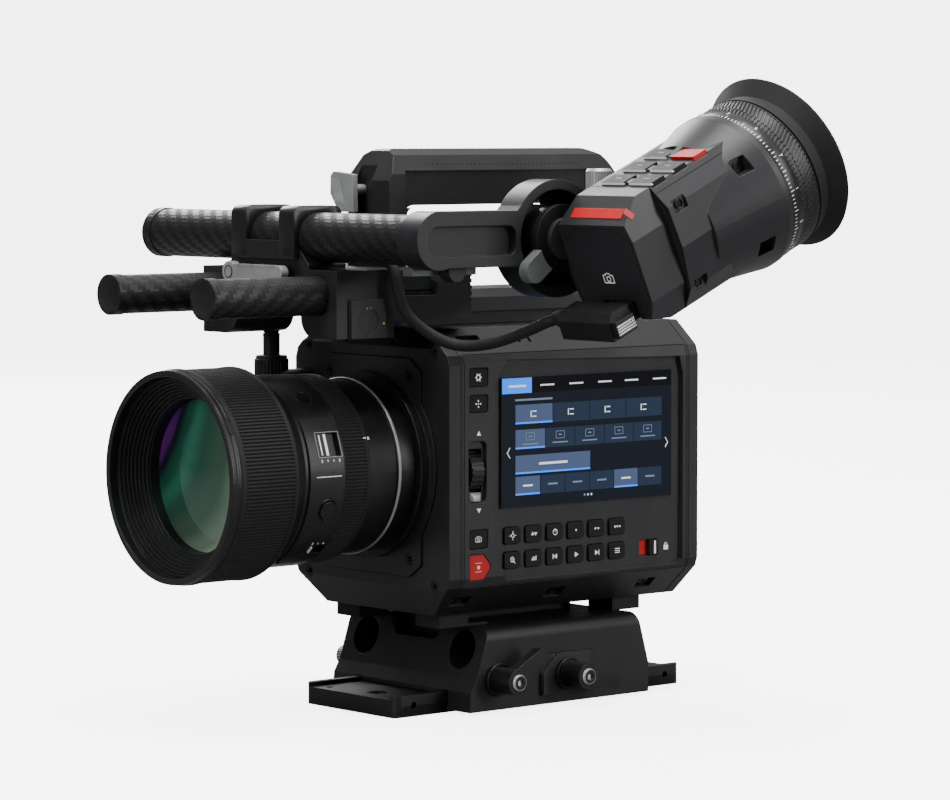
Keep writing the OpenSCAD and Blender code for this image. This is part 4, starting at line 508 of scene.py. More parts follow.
def turnedShape(rings, sides, closed=False):
    # a circle extruded and scaled ring by ring along Z; rings are (along, radius) in mm
    clearAll()
    bpy.ops.mesh.primitive_circle_add(vertices=sides, radius=rings[0][1] * mm,
                                      location=(0, 0, rings[0][0] * mm))
    piece = bpy.context.object
    bpy.ops.object.transform_apply(location=True)
    bpy.ops.object.mode_set(mode="EDIT")
    bpy.ops.mesh.select_all(action="SELECT")
    for (a0, r0), (a1, r1) in zip(rings, rings[1:]):
        bpy.ops.mesh.extrude_region_move(TRANSFORM_OT_translate={"value": (0, 0, (a1 - a0) * mm)})
        bpy.ops.transform.resize(value=(r1 / r0, r1 / r0, 1), center_override=(0, 0, a1 * mm))
    if closed:
        pickEdges(piece, lambda e: e.is_boundary)
        bpy.ops.mesh.bridge_edge_loops()
    else:
        for end in (rings[0], rings[-1]):
            high, wide = end[0] * mm, end[1] * mm

            def onEnd(vertex):
                return abs(vertex.co.z - high) < 1e-6 and abs(vertex.co.xy.length - wide) < 1e-5

            pickEdges(piece, lambda e: e.is_boundary and all(onEnd(v) for v in e.verts))
            bpy.ops.mesh.edge_face_add()
    return piece


def axisFrame(base, direction):
    # Z of a turned shape onto a direction, at a base point in mm
    turn = Vector(direction).to_track_quat("Z", "Y").to_matrix().to_4x4()
    return Matrix.Translation(Vector(base) * mm) @ turn


def blockShape(low, high):
    low, high = Vector(low) * mm, Vector(high) * mm
    clearAll()
    bpy.ops.mesh.primitive_cube_add(size=1, location=(low + high) / 2)
    piece = bpy.context.object
    piece.scale = high - low
    bpy.ops.object.transform_apply(location=True, rotation=True, scale=True)
    return piece


def emptyShape():
    # a mesh with nothing in it, open for drawing
    clearAll()
    bpy.ops.mesh.primitive_plane_add(size=mm)
    piece = bpy.context.object
    bpy.ops.object.mode_set(mode="EDIT")
    bpy.ops.mesh.select_all(action="SELECT")
    bpy.ops.mesh.delete(type="VERT")
    return piece


def drawSymbol(name, parts, place, finish, body, high=0.12):
    # marks in one mesh: bar x, y, wide, tall, turn; poly x, y, radius, sides, turn; ring x, y, radius, line
    piece = emptyShape()
    for kind, *v in parts:
        spot = (v[0] * mm, v[1] * mm, 0)
        turn = (0, 0, math.radians(v[4] if len(v) > 4 else 0))
        if kind == "bar":
            bpy.ops.mesh.primitive_cube_add(size=1, location=spot, rotation=turn,
                                            scale=(v[2] * mm, v[3] * mm, high * 2 * mm))
        if kind == "poly":
            bpy.ops.mesh.primitive_cylinder_add(vertices=v[3], radius=v[2] * mm, depth=high * 2 * mm,
                                                location=spot, rotation=turn)
        if kind == "ring":
            bpy.ops.mesh.primitive_torus_add(location=spot, major_radius=v[2] * mm,
                                             minor_radius=v[3] / 2 * mm, major_segments=28, minor_segments=6)
    bpy.ops.mesh.select_all(action="SELECT")
    bpy.ops.transform.resize(value=(1, 1, 0.5), center_override=(0, 0, 0))
    finishPiece(piece, name, finish, body, smooth=0, place=place)


def addNumber(text, size, place, lines):
    # a plain number as a thin mesh; lines collects the objects to join
    clearAll()
    bpy.ops.object.text_add(location=(0, 0, 0))
    number = bpy.context.object
    number.data.body = text
    number.data.size = size * mm
    number.data.align_x = "CENTER"
    number.data.align_y = "CENTER"
    number.data.extrude = 0.04 * mm
    number.data.resolution_u = 3
    bpy.ops.object.convert(target="MESH")
    number = bpy.context.object
    number.matrix_world = place
    bpy.ops.object.transform_apply(location=True, rotation=True, scale=True)
    lines.append(number)


def everySecond(count, low, high, inner):
    # picks every second facet of a turned shape between two heights and outside a radius, in mm
    turn = math.pi / count

    def test(face):
        middle = face.calc_center_median()
        share = (math.atan2(middle.y, middle.x) + 4 * math.pi) / turn + 1e-6
        return low * mm < middle.z < high * mm and middle.xy.length > inner * mm and int(share) % 2
    return test


def knurled(name, rings, knurl, place, finish, body, closed=True, smooth=30, node=None):
    # a turned piece with a band of ribs; knurl: number, band from, to, radius inside, edge and depth of a rib
    count, low, high, inner, edge, depth = knurl
    piece = turnedShape(rings, count * 2, closed=closed)
    pickFaces(piece, everySecond(count, low, high, inner))
    bpy.ops.mesh.inset(thickness=edge * mm, depth=depth * mm, use_individual=True)
    finishPiece(piece, name, finish, body, smooth=smooth, place=place)
    if node:
        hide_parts(node)


def turnedPiece(name, rings, sides, place, finish, body, closed=True, smooth=35):
    piece = turnedShape(rings, sides, closed=closed)
    return finishPiece(piece, name, finish, body, smooth=smooth, place=place)


def joinAll(pieces):
    clearAll()
    for piece in pieces:
        piece.select_set(True)
    bpy.context.view_layer.objects.active = pieces[0]
    bpy.ops.object.join()
    return bpy.context.object


finderTurn = Matrix.Rotation(math.radians(finderLean), 3, "X")
finderAlong = finderTurn @ Vector((0, 1, 0))
finderUp = finderTurn @ Vector((0, 0, 1))


def pointAt(x, s, u):
    # a place on the viewfinder: s runs from the tilt axis to the eyecup, u up from it, in mm
    return Vector((x, 0, 0)) + Vector((0, tiltY, tiltZ)) + finderTurn @ Vector((0, s, u))


# cable

def cableLine(route, steps):
    # the smooth line through the middles of the route's stretches, as the solid follows it
    line = [Vector(route[0])]
    for i in range(1, len(route) - 1):
        a = (Vector(route[i - 1]) + Vector(route[i])) / 2 if i > 1 else Vector(route[0])
        b = Vector(route[i])
        c = (Vector(route[i]) + Vector(route[i + 1])) / 2 if i < len(route) - 2 else Vector(route[-1])
        for s in range(1, steps + 1):
            t = s / steps
            line.append(a * (1 - t) ** 2 + b * 2 * t * (1 - t) + c * t ** 2)
    return line


def makeCable():
    # its thickness, its cuts along its length, the bodies from cut to cut, and the points of its route, in mm
    cable = {"width": 4.4, "cuts": [76, 132, 172],
             "bodies": ["camera", "carriage", "cross_rod", "arm", "viewfinder"],
             "route": [(-45, -80, 147), (-45, -80, 166), (-44, -84, 181), (-26, -88, 185.5), (0, -90, 185.5),
                       (20, -90, 184.5), (36, -91, 182.5), (46.5, -92, 178), (48, -91, 168), (48.5, -88, 159),
                       (54, -80, 151), (62, -73, 146.5), (75, -66, 148), (86, -57, 153.5), (92, -50, 158),
                       (98.5, -50, 158)]}
    line = cableLine(cable["route"], 8)
    far = [0]
    for a, b in zip(line, line[1:]):
        far.append(far[-1] + (b - a).length)
    print("cable length in mm", round(far[-1], 1))

    def nearest(cut):
        return min(range(len(far)), key=lambda i: abs(far[i] - cut))

    places = [0] + [nearest(cut) for cut in cable["cuts"]] + [len(line) - 1]
    for k, (i, j) in enumerate(zip(places, places[1:])):
        points = line[i:j + 1]
        curve = bpy.data.curves.new("cable", "CURVE")
        curve.dimensions = "3D"
        curve.bevel_depth = cable["width"] / 2 * mm
        curve.bevel_resolution = 4
        curve.use_fill_caps = True
        spline = curve.splines.new("POLY")
        spline.points.add(len(points) - 1)
        for spot, p in zip(spline.points, points):
            spot.co = (*(p * mm), 1)
        holder = bpy.data.objects.new("cable", curve)
        bpy.context.scene.collection.objects.link(holder)
        makeActive(holder)
        bpy.ops.object.convert(target="MESH")
        piece = bpy.context.object
        finishPiece(piece, "cablePart" + str(k + 1), "blackRubber", None, smooth=50)
        a, b = cable["bodies"][k], cable["bodies"][k + 1]
        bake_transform(piece)
        if k == 0:
            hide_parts("viewfinder_cable")
    print("cable made")


# rods

def makeRodCaps():
    cap = {"long": 5, "proud": 0.35, "ribs": 60, "depth": 0.25}
    rods = [("rodCapSide", (30, -165, rodHigh), (0, -1, 0), 7.5, "camera"),
            ("rodCapFar", (-30, -165, rodHigh), (0, -1, 0), 7.5, "camera"),
            ("crossRodCap", (-77, crossY, crossZ), (-1, 0, 0), 9.5, "cross_rod")]
    for name, base, direction, radius, body in rods:
        r, long = radius + cap["proud"] - cap["depth"], cap["long"]
        rings = [(0, r - 0.2), (0.4, r + 0.1), (0.8, r), (long - 1.4, r), (long - 1, r + 0.1),
                 (long - 0.1, r - 0.7), (long + 0.03, r - 1.1), (long + 0.03, 0.02)]
        knurled(name, rings, (cap["ribs"], 0.8, long - 1.3, r / 2, 0.08, cap["depth"]),
                axisFrame(base, direction), "blackAnodised", body, closed=False, smooth=35)
    print("rod caps made")


def makeRingFrames():
    # square-shouldered frames round the carriage's two rings
    box = {"front": -119.1, "rear": -95.4, "low": 181, "top": 200.2, "inner": 10.4, "outer": 19.6,
           "corner": 3.4, "bore": 9.75}
    for name, side in (("ringFrameNear", 1), ("ringFrameFar", -1)):
        middle, half = side * (box["inner"] + box["outer"]) / 2, (box["outer"] - box["inner"]) / 2
        piece = blockShape((middle - half, box["front"], box["low"]),
                           (middle + half, box["rear"], box["top"]))
        bpy.ops.object.mode_set(mode="EDIT")
        pickEdges(piece, lambda e: all(v.co.z > (box["top"] - 1) * mm for v in e.verts)
                  and abs(e.verts[0].co.y - e.verts[1].co.y) < 0.1 * mm)
        bpy.ops.mesh.bevel(offset=box["corner"] * mm, segments=5)
        bpy.ops.object.mode_set(mode="OBJECT")
        clearAll()
        bpy.ops.mesh.primitive_cylinder_add(vertices=72, radius=box["bore"] * mm, depth=30 * mm,
                                            rotation=(0, math.pi / 2, 0),
                                            location=(middle * mm, crossY * mm, crossZ * mm))
        drill = bpy.context.object
        makeActive(piece)
        cut = piece.modifiers.new("bore", "BOOLEAN")
        cut.object = drill
        cut.solver = "EXACT"
        bpy.ops.object.modifier_apply(modifier=cut.name)
        bpy.data.objects.remove(drill)
        finishPiece(piece, name, "blackAnodised", "carriage", smooth=30, bevel=0.35)
    print("carriage frames made")


# lens

def onLens(along, angle, radius):
    # a frame on the lens: X ahead-to-rear as the photograph reads, Y round it, Z outwards
    a = math.radians(angle)
    spot = (radius * math.cos(a), -along, lensHigh + radius * math.sin(a))
    return placeFrame(spot, (0, 1, 0), (-math.sin(a), 0, math.cos(a)))


def outOfLens(along, angle, radius):
    # a frame for a turned piece that stands out of the lens
    out = Vector((math.cos(math.radians(angle)), 0, math.sin(math.radians(angle))))
    return axisFrame(Vector((0, -along, lensHigh)) + out * radius, out)


lensPlace = axisFrame((0, 0, lensHigh), (0, -1, 0))


def makeLensRings():
    front = [(133, 40.6), (133.6, 41.2), (134.6, 41.2), (135, 40.9), (157.9, 40.9), (158.2, 41.3),
             (159.9, 41.3), (160.4, 40.9)]
    rear = [(94.8, 36.4), (95.3, 36.9), (96.8, 36.9), (107.3, 36.9), (108, 36.5)]
    # name, node, outer profile, bore, then the ribs: number, band from and to, edge, depth
    for name, node, outer, bore, ribs, low, high, edge, depth in (
            ("focusRing", "focus_ring", front, 38.7, 180, 135.2, 157.8, 0.16, 0.5),
            ("apertureRing", "aperture_ring", rear, 34.45, 168, 96.9, 107.2, 0.15, 0.4)):
        knurled(name, outer + [(outer[-1][0], bore), (outer[0][0], bore)],
                (ribs, low, high, bore + 1, edge, depth), lensPlace, "blackRubber", node,
                smooth=32, node=node)
    drawSymbol("apertureMark", [("bar", 0.9, 0, 1.5, 0.35), ("poly", 2.6, 0, 0.4, 12)],
               onLens(97.2, 22, 36.94), "whitePrint", "aperture_ring")
    drawSymbol("apertureIndex", [("bar", 0, 0, 1.8, 0.35)], onLens(93.4, 22, 35.06), "whitePrint", "camera")
    print("lens rings made")


def makeLensGlass():
    # front element with a domed face, a coated element further in and the rear one in the throat
    # name, finish, place of the face's top, its dome, radius of the glass and place of its back, in mm
    glass = [("frontGlass", "frontCoatPaintedReflection", 152.2, 90, 29.5, 143.4),
             ("middleGlass", "deepGlass", 139.5, 62, 28.2, 131), ("rearGlass", "deepGlass", 71, 60, 20, 66)]
    for name, finish, top, dome, radius, back in glass:
        radii = [radius * k for k in (1, 0.96, 0.88, 0.75, 0.58, 0.38, 0.18, 0.01)]
        face = [(top - dome + math.sqrt(dome * dome - r * r), r) for r in radii]
        rings = [(back, 0.01 * radius), (back, radius)] + face
        piece = turnedPiece(name, rings, 96, lensPlace, finish, "camera", closed=False,
                            smooth=50)
        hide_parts("lens_elements")
    retainer = [(143.2, 29.6), (143.2, 27.6), (141.5, 26.6), (141.5, 29.3)]
    turnedPiece("glassRetainer", retainer, 96, lensPlace, "blackAnodised", "camera")
    print("glass made")


def makeLensDetails():
    # fine steps behind the front rim: where they start, their radius, number, depth and rise
    step = {"start": 160.28, "radius": 38.25, "count": 8, "deep": 1.12, "rise": 1.05}
    steps = [(step["start"], step["radius"])]
    for k in range(step["count"]):
        at, r = step["start"] - step["deep"] * k, step["radius"] - step["rise"] * (k + 1)
        steps += [(at, r), (at - step["deep"], r)]
    turnedPiece("frontSteps", steps, 120, lensPlace, "blackPlastic", "camera", smooth=20)
    rim = [(160.5, 40.6), (160.5, 40.95), (161.3, 40.95), (161.6, 40.6), (162.6, 40.95), (163.6, 40.9),
           (164.36, 40.3), (164.36, 38.5), (163.6, 38.3), (163.6, 40)]
    turnedPiece("frontRim", rim, 120, lensPlace, "blackAnodised", "camera")
    silver = [(78.25, 34), (78.25, 34.75), (79, 34.95), (79.5, 34.75), (79.5, 34)]
    turnedPiece("bayonetBand", silver, 120, lensPlace, "silverMetal", "camera")
    collar = [(69.6, 36.2), (69.6, 37.1), (70.25, 36.9), (70.25, 34.3), (69.6, 34.3)]
    turnedPiece("mountBand", collar, 120, lensPlace, "blackScrews", "camera")
    drawSymbol("rimNotch", [("bar", 0, 0, 1.6, 7), ("bar", 1.4, 3, 2.2, 1)], onLens(161.8, 32, 41.0),
               "seamShadow", "camera")
    # switch pad: frame of the window, its marks, the dividing line and the rim of the button
    window = [("bar", 0, 4.9, 11, 0.22), ("bar", 0, -4.9, 11, 0.22), ("bar", 5.6, 0, 0.22, 9.8),
              ("bar", -5.6, 0, 0.22, 9.8)]
    drawSymbol("windowFrame", window, onLens(115.5, 19, 38.12), "greyPrint", "camera",
               high=0.3)
    drawSymbol("switchBars", [("bar", -1.7, 0, 0.5, 8), ("bar", 0.9, 0, 1.1, 8.4)], onLens(117.4, 19, 37.86),
               "whitePrint", "focus_switch")
    marks = [("bar", -4.2, 0, 0.45, 1.2), ("bar", -1.4, 0, 0.3, 0.8), ("bar", 1.4, 0, 0.3, 0.8),
             ("bar", 4.2, 0, 0.45, 1.2)]
    drawSymbol("windowTicks", marks, onLens(115.5, 9.6, 38.1), "whitePrint", "camera",
               high=0.3)
    drawSymbol("padLine", [("bar", 0, 0, 12, 0.32)], onLens(116.6, 0.5, 38.12), "whitePrint", "camera")
    drawSymbol("padDot", [("poly", 0, 0, 0.7, 16)], onLens(115.8, 30.5, 38.1), "seamShadow", "camera")
    drawSymbol("clickTicks", [("bar", -2.6, 0, 0.3, 1.1), ("bar", 0, 0, 0.3, 0.7), ("bar", 2.6, 0, 0.3, 1.1)],
               onLens(114.2, -43.2, 38.12), "whitePrint", "camera", high=0.3)
    drawSymbol("clickMark", [("bar", 0, 0, 0.5, 3.2)], onLens(116, -49, 37.9), "whitePrint", "click_switch",
               high=0.8)
    place = outOfLens(116, -19.4, 38)
    turnedPiece("buttonRim", [(-0.3, 4.05), (-0.3, 4.75), (0.25, 4.5), (0.25, 4.05)], 48, place,
                "blackScrews", "camera")
    turnedPiece("buttonTop", [(0.4, 3.55), (0.75, 3.3), (0.6, 2.4), (0.55, 0.02)], 40, place, "blackPlastic",
                "hold_button", closed=False)
    badge = [(0, 3.9), (0.55, 3.9), (0.62, 3.6), (0.62, 3.3), (0.4, 3.1), (0.4, 0.02), (0, 0.02)]
    turnedPiece("roundBadge", badge, 48, outOfLens(117, 52, 37), "blackScrews", "camera")
    print("lens details made")


# screws and knurls

def socketScrew():
    # a cap screw of radius 1 and height 1, with a six-sided socket
    clearAll()
    bpy.ops.mesh.primitive_circle_add(vertices=24, radius=mm)
    piece = bpy.context.object
    bpy.ops.object.mode_set(mode="EDIT")
    bpy.ops.mesh.select_all(action="SELECT")
    bpy.ops.mesh.extrude_region_move(TRANSFORM_OT_translate={"value": (0, 0, 0.82 * mm)})
    bpy.ops.mesh.extrude_region_move(TRANSFORM_OT_translate={"value": (0, 0, 0.18 * mm)})
    bpy.ops.transform.resize(value=(0.88, 0.88, 1), center_override=(0, 0, mm))
    bpy.ops.mesh.select_all(action="DESELECT")
    bpy.ops.mesh.primitive_circle_add(vertices=6, radius=0.52 * mm, location=(0, 0, mm))
    pickEdges(piece, lambda e: e.is_boundary and e.verts[0].co.z > 0.9 * mm)
    bpy.ops.mesh.bridge_edge_loops()
    pickEdges(piece, lambda e: e.is_boundary and e.verts[0].co.z > 0.9 * mm)
    bpy.ops.mesh.extrude_region_move(TRANSFORM_OT_translate={"value": (0, 0, -0.6 * mm)})
    bpy.ops.mesh.edge_face_add()
    pickEdges(piece, lambda e: e.is_boundary)
    bpy.ops.mesh.edge_face_add()
    bpy.ops.object.mode_set(mode="OBJECT")
    return piece


def copyShape(base, scale):
    copy = base.copy()
    copy.data = base.data.copy()
    bpy.context.scene.collection.objects.link(copy)
    copy.scale = scale
    makeActive(copy)
    bpy.ops.object.transform_apply(location=False, rotation=False, scale=True)
    return copy


def makeScrews():
    side = Vector((1, 0, 0))
    # name, foot, direction, radius, height, finish, body
    screws = [
        ("baseLeverScrew", (54.9, -36, 13.4), side, 3.2, 1.7, "brightScrew", "base_lever"),
        ("jawLeverScrew", (56.9, -1, 13), side, 3.2, 1.7, "brightScrew", "jaw_lever"),
        ("carriageLeverScrew", (-16.5, -122.4, 174.5), (0, -1, 0), 2.5, 0.8, "blackScrews", "carriage_lever"),
        ("armLeverScrew", (76.6, -93.5, 176.6), (-1, 0, 0), 2.7, 2.6, "blackScrews", "arm_lever"),
        ("shellScrewFront", pointAt(137.2, 23.2, 4.6), side, 1.9, 1.0, "blackScrews", "viewfinder"),
        ("shellScrewRear", pointAt(137.2, 56.3, 4.6), side, 1.9, 1.0, "blackScrews", "viewfinder"),
        ("shellScrewLowFront", pointAt(134.3, 23.2, -28), side, 1.7, 0.9, "blackScrews", "viewfinder"),
        ("shellScrewLowRear", pointAt(134.3, 56.3, -28), side, 1.7, 0.9, "blackScrews", "viewfinder"),
    ]
    for x in (-11, 11):
        for y in (-40, 0, 40):
            screws.append(("railScrew", (x, y, 165.6), (0, 0, 1), 1.8, 0.5, "blackScrews", "camera"))
    for x in (-38, 38):
        for z in (50, 144):
            screws.append(("rearScrew", (x, 67.2, z), (0, 1, 0), 1.9, 0.5, "blackScrews", "camera"))
    base = socketScrew()
    for name, foot, direction, radius, high, finish, body in screws:
        copy = copyShape(base, (radius, radius, high))
        finishPiece(copy, name, finish, body, smooth=35, place=axisFrame(foot, direction))
    bpy.data.objects.remove(base)
    for name, x, y, z, body in (("baseWasher", 43.25, -36, 13.4, "base_lever"),
                                ("jawWasher", 45.25, -1, 13, "jaw_lever")):
        rings = [(0, 5), (0, 6.55), (1, 6.6), (1.35, 6.3), (1.35, 5)]
        turnedPiece(name, rings, 48, axisFrame((x, y, z), (1, 0, 0)), "blackScrews", body)
    print("screws made:", len(screws))


def makeKnobs():
    # the arm's lock knob with a straight knurl, the far side's release knob and the grip of the camera's plug
    knob = [(-6, 0.3), (-6, 2.45), (0.3, 2.45), (0.3, 4.8), (0.8, 5.15), (7.6, 5.15), (8.1, 4.8), (8.7, 4.3),
            (8.7, 3), (8.3, 2.7), (8.3, 0.3)]
    knurled("lockKnob", knob, (28, 0.9, 7.5, 4.6, 0.12, 0.35), axisFrame((84.75, -21, 205.7), (0, 0, 1)),
            "silverMetal", "lock_knob", node="lock_knob")
    knurled("releaseKnob", [(0, 3), (0, 4.1), (0.5, 4.3), (9.6, 4.3), (10.3, 3.9), (10.3, 3)],
            (26, 0.6, 9.5, 4, 0.1, 0.2), axisFrame((-43.4, -36, 13.4), (-1, 0, 0)), "silverMetal",
            "base_lever")
    plug = [(128.5, 5), (128.5, 6.4), (129, 6.65), (137.6, 6.65), (138.2, 6.3), (139.1, 5.8), (139.1, 5)]
    knurled("plugGrip", [(a - 128.5, r) for a, r in plug], (30, 0.6, 9.0, 6, 0.12, -0.25),
            axisFrame((-45, -80, 128.5), (0, 0, 1)), "blackPlastic", "camera")
    boot = []
    for k in range(6):
        z, r = 1.7 * k, 3.5 - 0.16 * k
        boot += [(z, r), (z + 1.1, r - 0.1), (z + 1.1, r - 0.5), (z + 1.7, r - 0.5)]
    turnedPiece("cameraStrainRelief", [(0, 2.25)] + boot + [(10.2, 2.25)], 32,
                axisFrame((-45, -80, 146.8), (0, 0, 1)), "blackRubber", "camera")
    turnedPiece("finderStrainRelief", [(0, 2.25), (0, 3.9), (1.2, 3.8), (6, 2.75), (6, 2.25)], 32,
                axisFrame((98.6, -50, 158), (-1, 0, 0)), "blackRubber", "viewfinder")
    print("knobs and strain reliefs made")


# controls and display

def triangle(x, y, r, turn):
    return ("poly", x, y, r, 3, turn)


def strokes(points, line, closed=False):
    # straight strokes from point to point
    pairs = list(zip(points, points[1:])) + ([(points[-1], points[0])] if closed else [])
    return [("bar", (a[0] + b[0]) / 2, (a[1] + b[1]) / 2, math.dist(a, b) + line, line,
             math.degrees(math.atan2(b[1] - a[1], b[0] - a[0]))) for a, b in pairs]


def cameraSign(k):
    body = [(-1.7, -1.1), (1.7, -1.1), (1.7, 0.9), (0.9, 0.9), (0.5, 1.4), (-0.5, 1.4), (-0.9, 0.9),
            (-1.7, 0.9)]
    lens = ("ring", 0, -0.1 * k, 0.65 * k, 0.24 * k)
    return strokes([(x * k, y * k) for x, y in body], 0.24 * k, True) + [lens]


def rays(turns, far, long, wide):
    # bars that point outward all round
    return [("bar", far * math.cos(a), far * math.sin(a), long, wide, math.degrees(a)) for a in turns]


def makeKeySigns():
    rowSigns = {
        "upper": [
            [("ring", 0, 0, 0.7, 0.3)] + rays((0, 1.571, 3.142, 4.712), 1.45, 0.6, 0.26),
            [triangle(-0.8, 0, 0.9, 0), triangle(0.8, 0.1, 0.9, 180)],
            [("ring", 0, 0, 1.1, 0.3), ("bar", 0, 0.5, 0.3, 1)],
            [("poly", 0, 0, 0.42, 12)],
            [("poly", -0.8, 0, 0.42, 12), ("poly", 0.8, 0, 0.42, 12)],
            [("poly", -1.3, 0, 0.42, 12), ("poly", 0, 0, 0.42, 12), ("poly", 1.3, 0, 0.42, 12)],
        ],
        "lower": [
            [("ring", -0.25, 0.25, 0.95, 0.26), ("bar", 0.85, -0.85, 1.1, 0.32, -45),
             ("bar", -0.25, 0.25, 0.9, 0.22), ("bar", -0.25, 0.25, 0.22, 0.9)],
            [("bar", -1, -0.3, 0.35, 1), ("bar", -0.33, 0, 0.35, 1.6), ("bar", 0.33, -0.15, 0.35, 1.3),
             ("bar", 1, 0.1, 0.35, 1.8)],
            [("bar", -1.1, 0, 0.35, 2), triangle(0.35, 0, 1.15, 90)],
            [triangle(0, 0, 1.25, -90)],
            [("bar", 1.1, 0, 0.35, 2), triangle(-0.35, 0, 1.15, -90)],
            [("bar", 0, 0.8, 2.6, 0.32), ("bar", 0, 0, 2.6, 0.32), ("bar", 0, -0.8, 2.6, 0.32)],
        ],
    }
    for row, z in (("upper", 70.3), ("lower", 60.6)):
        for i, sign in enumerate(rowSigns[row]):
            place = sidePlace(47.02, -31.9 + 11.16 * i, z)
            drawSymbol(row + "Sign" + str(i + 1), sign, place, "whitePrint", "keys_" + row + "_row")
    gear = [("ring", 0, 0, 0.95, 0.5)] + rays([k * math.pi / 3 for k in range(6)], 1.4, 0.5, 0.45)
    target = [("poly", 0, 0, 0.4, 4)]
    for k in range(4):
        a = k * math.pi / 2
        target.append(triangle(1.15 * math.cos(a), 1.15 * math.sin(a), 0.5, 90 * k - 90))
    left = [("menuSign", gear, 133.3, 47.72, "menu_key"), ("focusSign", target, 123, 47.72, "focus_key"),
            ("stillSign", cameraSign(0.85), 70.1, 47.72, "still_key"),
            ("upSign", [triangle(0, 0, 1.2, 0)], 111.3, 48.02, "camera"),
            ("downSign", [triangle(0, 0, 1.2, 180)], 81.6, 48.02, "camera")]
    for name, sign, z, x, body in left:
        drawSymbol(name, sign, sidePlace(x, -50.3, z), "whitePrint", body)
    place = sidePlace(47.72, -50.2, 59.15)
    drawSymbol("recordSign", [("bar", 0, 1.7, 3.4, 0.18), ("bar", 0, -1.7, 3.4, 0.18),
                              ("poly", 0, 0, 0.75, 20)], place, "palePrint", "record_key")
    for name, sign, y, x, finish, body in (
            ("lockRed", [("bar", 0, 0, 4.4, 6)], 39.6, 45.02, "recordRed", "camera"),
            ("lockLine", [("bar", 0.5, 0, 0.9, 5.2)], 44.15, 47.02, "whitePrint", "lock_slider"),
            ("lockShade", [("bar", 0, 0, 0.35, 5.6)], 43.1, 47.02, "seamShadow", "lock_slider"),
            ("lockSign", [("bar", 0, -0.6, 2.4, 1.9), ("ring", 0, 0.5, 0.75, 0.3)], 51.6, 46.02, "whitePrint",
             "camera")):
        drawSymbol(name, sign, sidePlace(x, y, 60.55), finish, body)
    # a silver wedge under the thumb wheel: a painted highlight on the lower chamfer of the wheel's recess
    paintedHighlight = blockShape((46.35, -53.9, 84.9), (47.6, -47.9, 88.6))
    bpy.ops.object.mode_set(mode="EDIT")
    pickFaces(paintedHighlight, lambda f: f.normal.x > 0.9)
    bpy.ops.transform.resize(value=(1, 0.55, 0.5), center_override=(47.6 * mm, -50.9 * mm, 85 * mm))
    finishPiece(paintedHighlight, "wheelPaintedHighlight", "silverMetal", "camera", bevel=0.2)
    print("signs made")


def makeDisplayPicture():
    # tiles by their shares of the display's width and height: left, top, right, bottom
    low, high, wide, tall = -37.5, 132.2, 90.7, 50.5
    def tile(u0, v0, u1, v1):
        return ("bar", low + wide * (u0 + u1) / 2, high - tall * (v0 + v1) / 2, wide * (u1 - u0),
                tall * (v1 - v0))
    def row(v0, v1, u0, u1, count):
        step = (u1 - u0) / count
        return [tile(u0 + i * step + 0.002, v0, u0 + (i + 1) * step - 0.002, v1) for i in range(count)]
    rows = [row(0.21, 0.36, 0.075, 0.945, 4), row(0.405, 0.555, 0.075, 0.945, 5),
            row(0.605, 0.75, 0.075, 0.515, 1), row(0.77, 0.915, 0.075, 0.945, 6)]
    lit = [rows[0][0], rows[1][0], rows[2][0], rows[3][0], rows[3][4]]
    plain = [t for r in rows for t in r if t not in lit]
    lines = [("bar", t[1], t[2] - t[4] / 2 + 0.35, t[3], 0.7) for t in lit]
    marks, faint = [], []
    for i, u in enumerate((0.087, 0.26, 0.43, 0.60, 0.76, 0.93)):
        half, top, foot = (0.05, 0.055, 0.072) if i == 0 else (0.04, 0.058, 0.07)
        marks.append(tile(u - half, top, u + half, foot))
    for t in rows[0]:
        marks += [("bar", t[1] - 1.6, t[2], 0.45, 2.6), ("bar", t[1] + 0.2, t[2] + 1, 2, 0.42),
                  ("bar", t[1] + 0.2, t[2] - 1, 2, 0.42)]
    for t in rows[1]:
        border = [(-2.2, -0.4), (2.2, -0.4), (2.2, 2.4), (-2.2, 2.4)]
        faint += strokes([(t[1] + x, t[2] + z) for x, z in border], 0.22, True)
        faint += [("bar", t[1], t[2] - 2, 8, 0.5), ("bar", t[1], t[2] + 1, 1.6, 0.5)]
    marks.append(("bar", rows[2][0][1], rows[2][0][2], 15, 0.9))
    for t in rows[3]:
        (marks if t in lit else faint).append(("bar", t[1], t[2], 5, 0.7))
    faint.append(tile(0.075, 0.165, 0.29, 0.18))
    for u, turn in ((0.035, -1), (0.975, 1)):
        x, z = low + wide * u, high - tall * 0.58
        marks += strokes([(x - 0.8 * turn, z + 1.9), (x + 0.5 * turn, z), (x - 0.8 * turn, z - 1.9)], 0.3)
    dots = [("poly", low + wide * u, high - tall * 0.95, 0.42, 12) for u in (0.48, 0.50, 0.52)]
    layers = [("screenGround", "screenNavy", [tile(0, 0.12, 1, 1)], 0.06),
              ("screenTiles", "screenSlate", plain, 0.12), ("screenTilesLit", "screenLight", lit, 0.12),
              ("screenBlue", "screenBlue", [tile(0, 0, 0.17, 0.12)] + lines + dots[:1], 0.2),
              ("screenMarks", "screenWhite", marks + dots[1:], 0.28),
              ("screenFaint", "screenGrey", faint, 0.24)]
    for name, finish, parts, thick in layers:
        drawSymbol(name, parts, sidePlace(47, 0, 0), finish, "camera", high=thick)
    frameLine = strokes([(-37.7, 81.5), (53.4, 81.5), (53.4, 132.4), (-37.7, 132.4)], 0.45, True)
    drawSymbol("displayEdge", frameLine, sidePlace(46.9, 0, 0), "blackScrews", "camera")
    print("display picture made")


# body

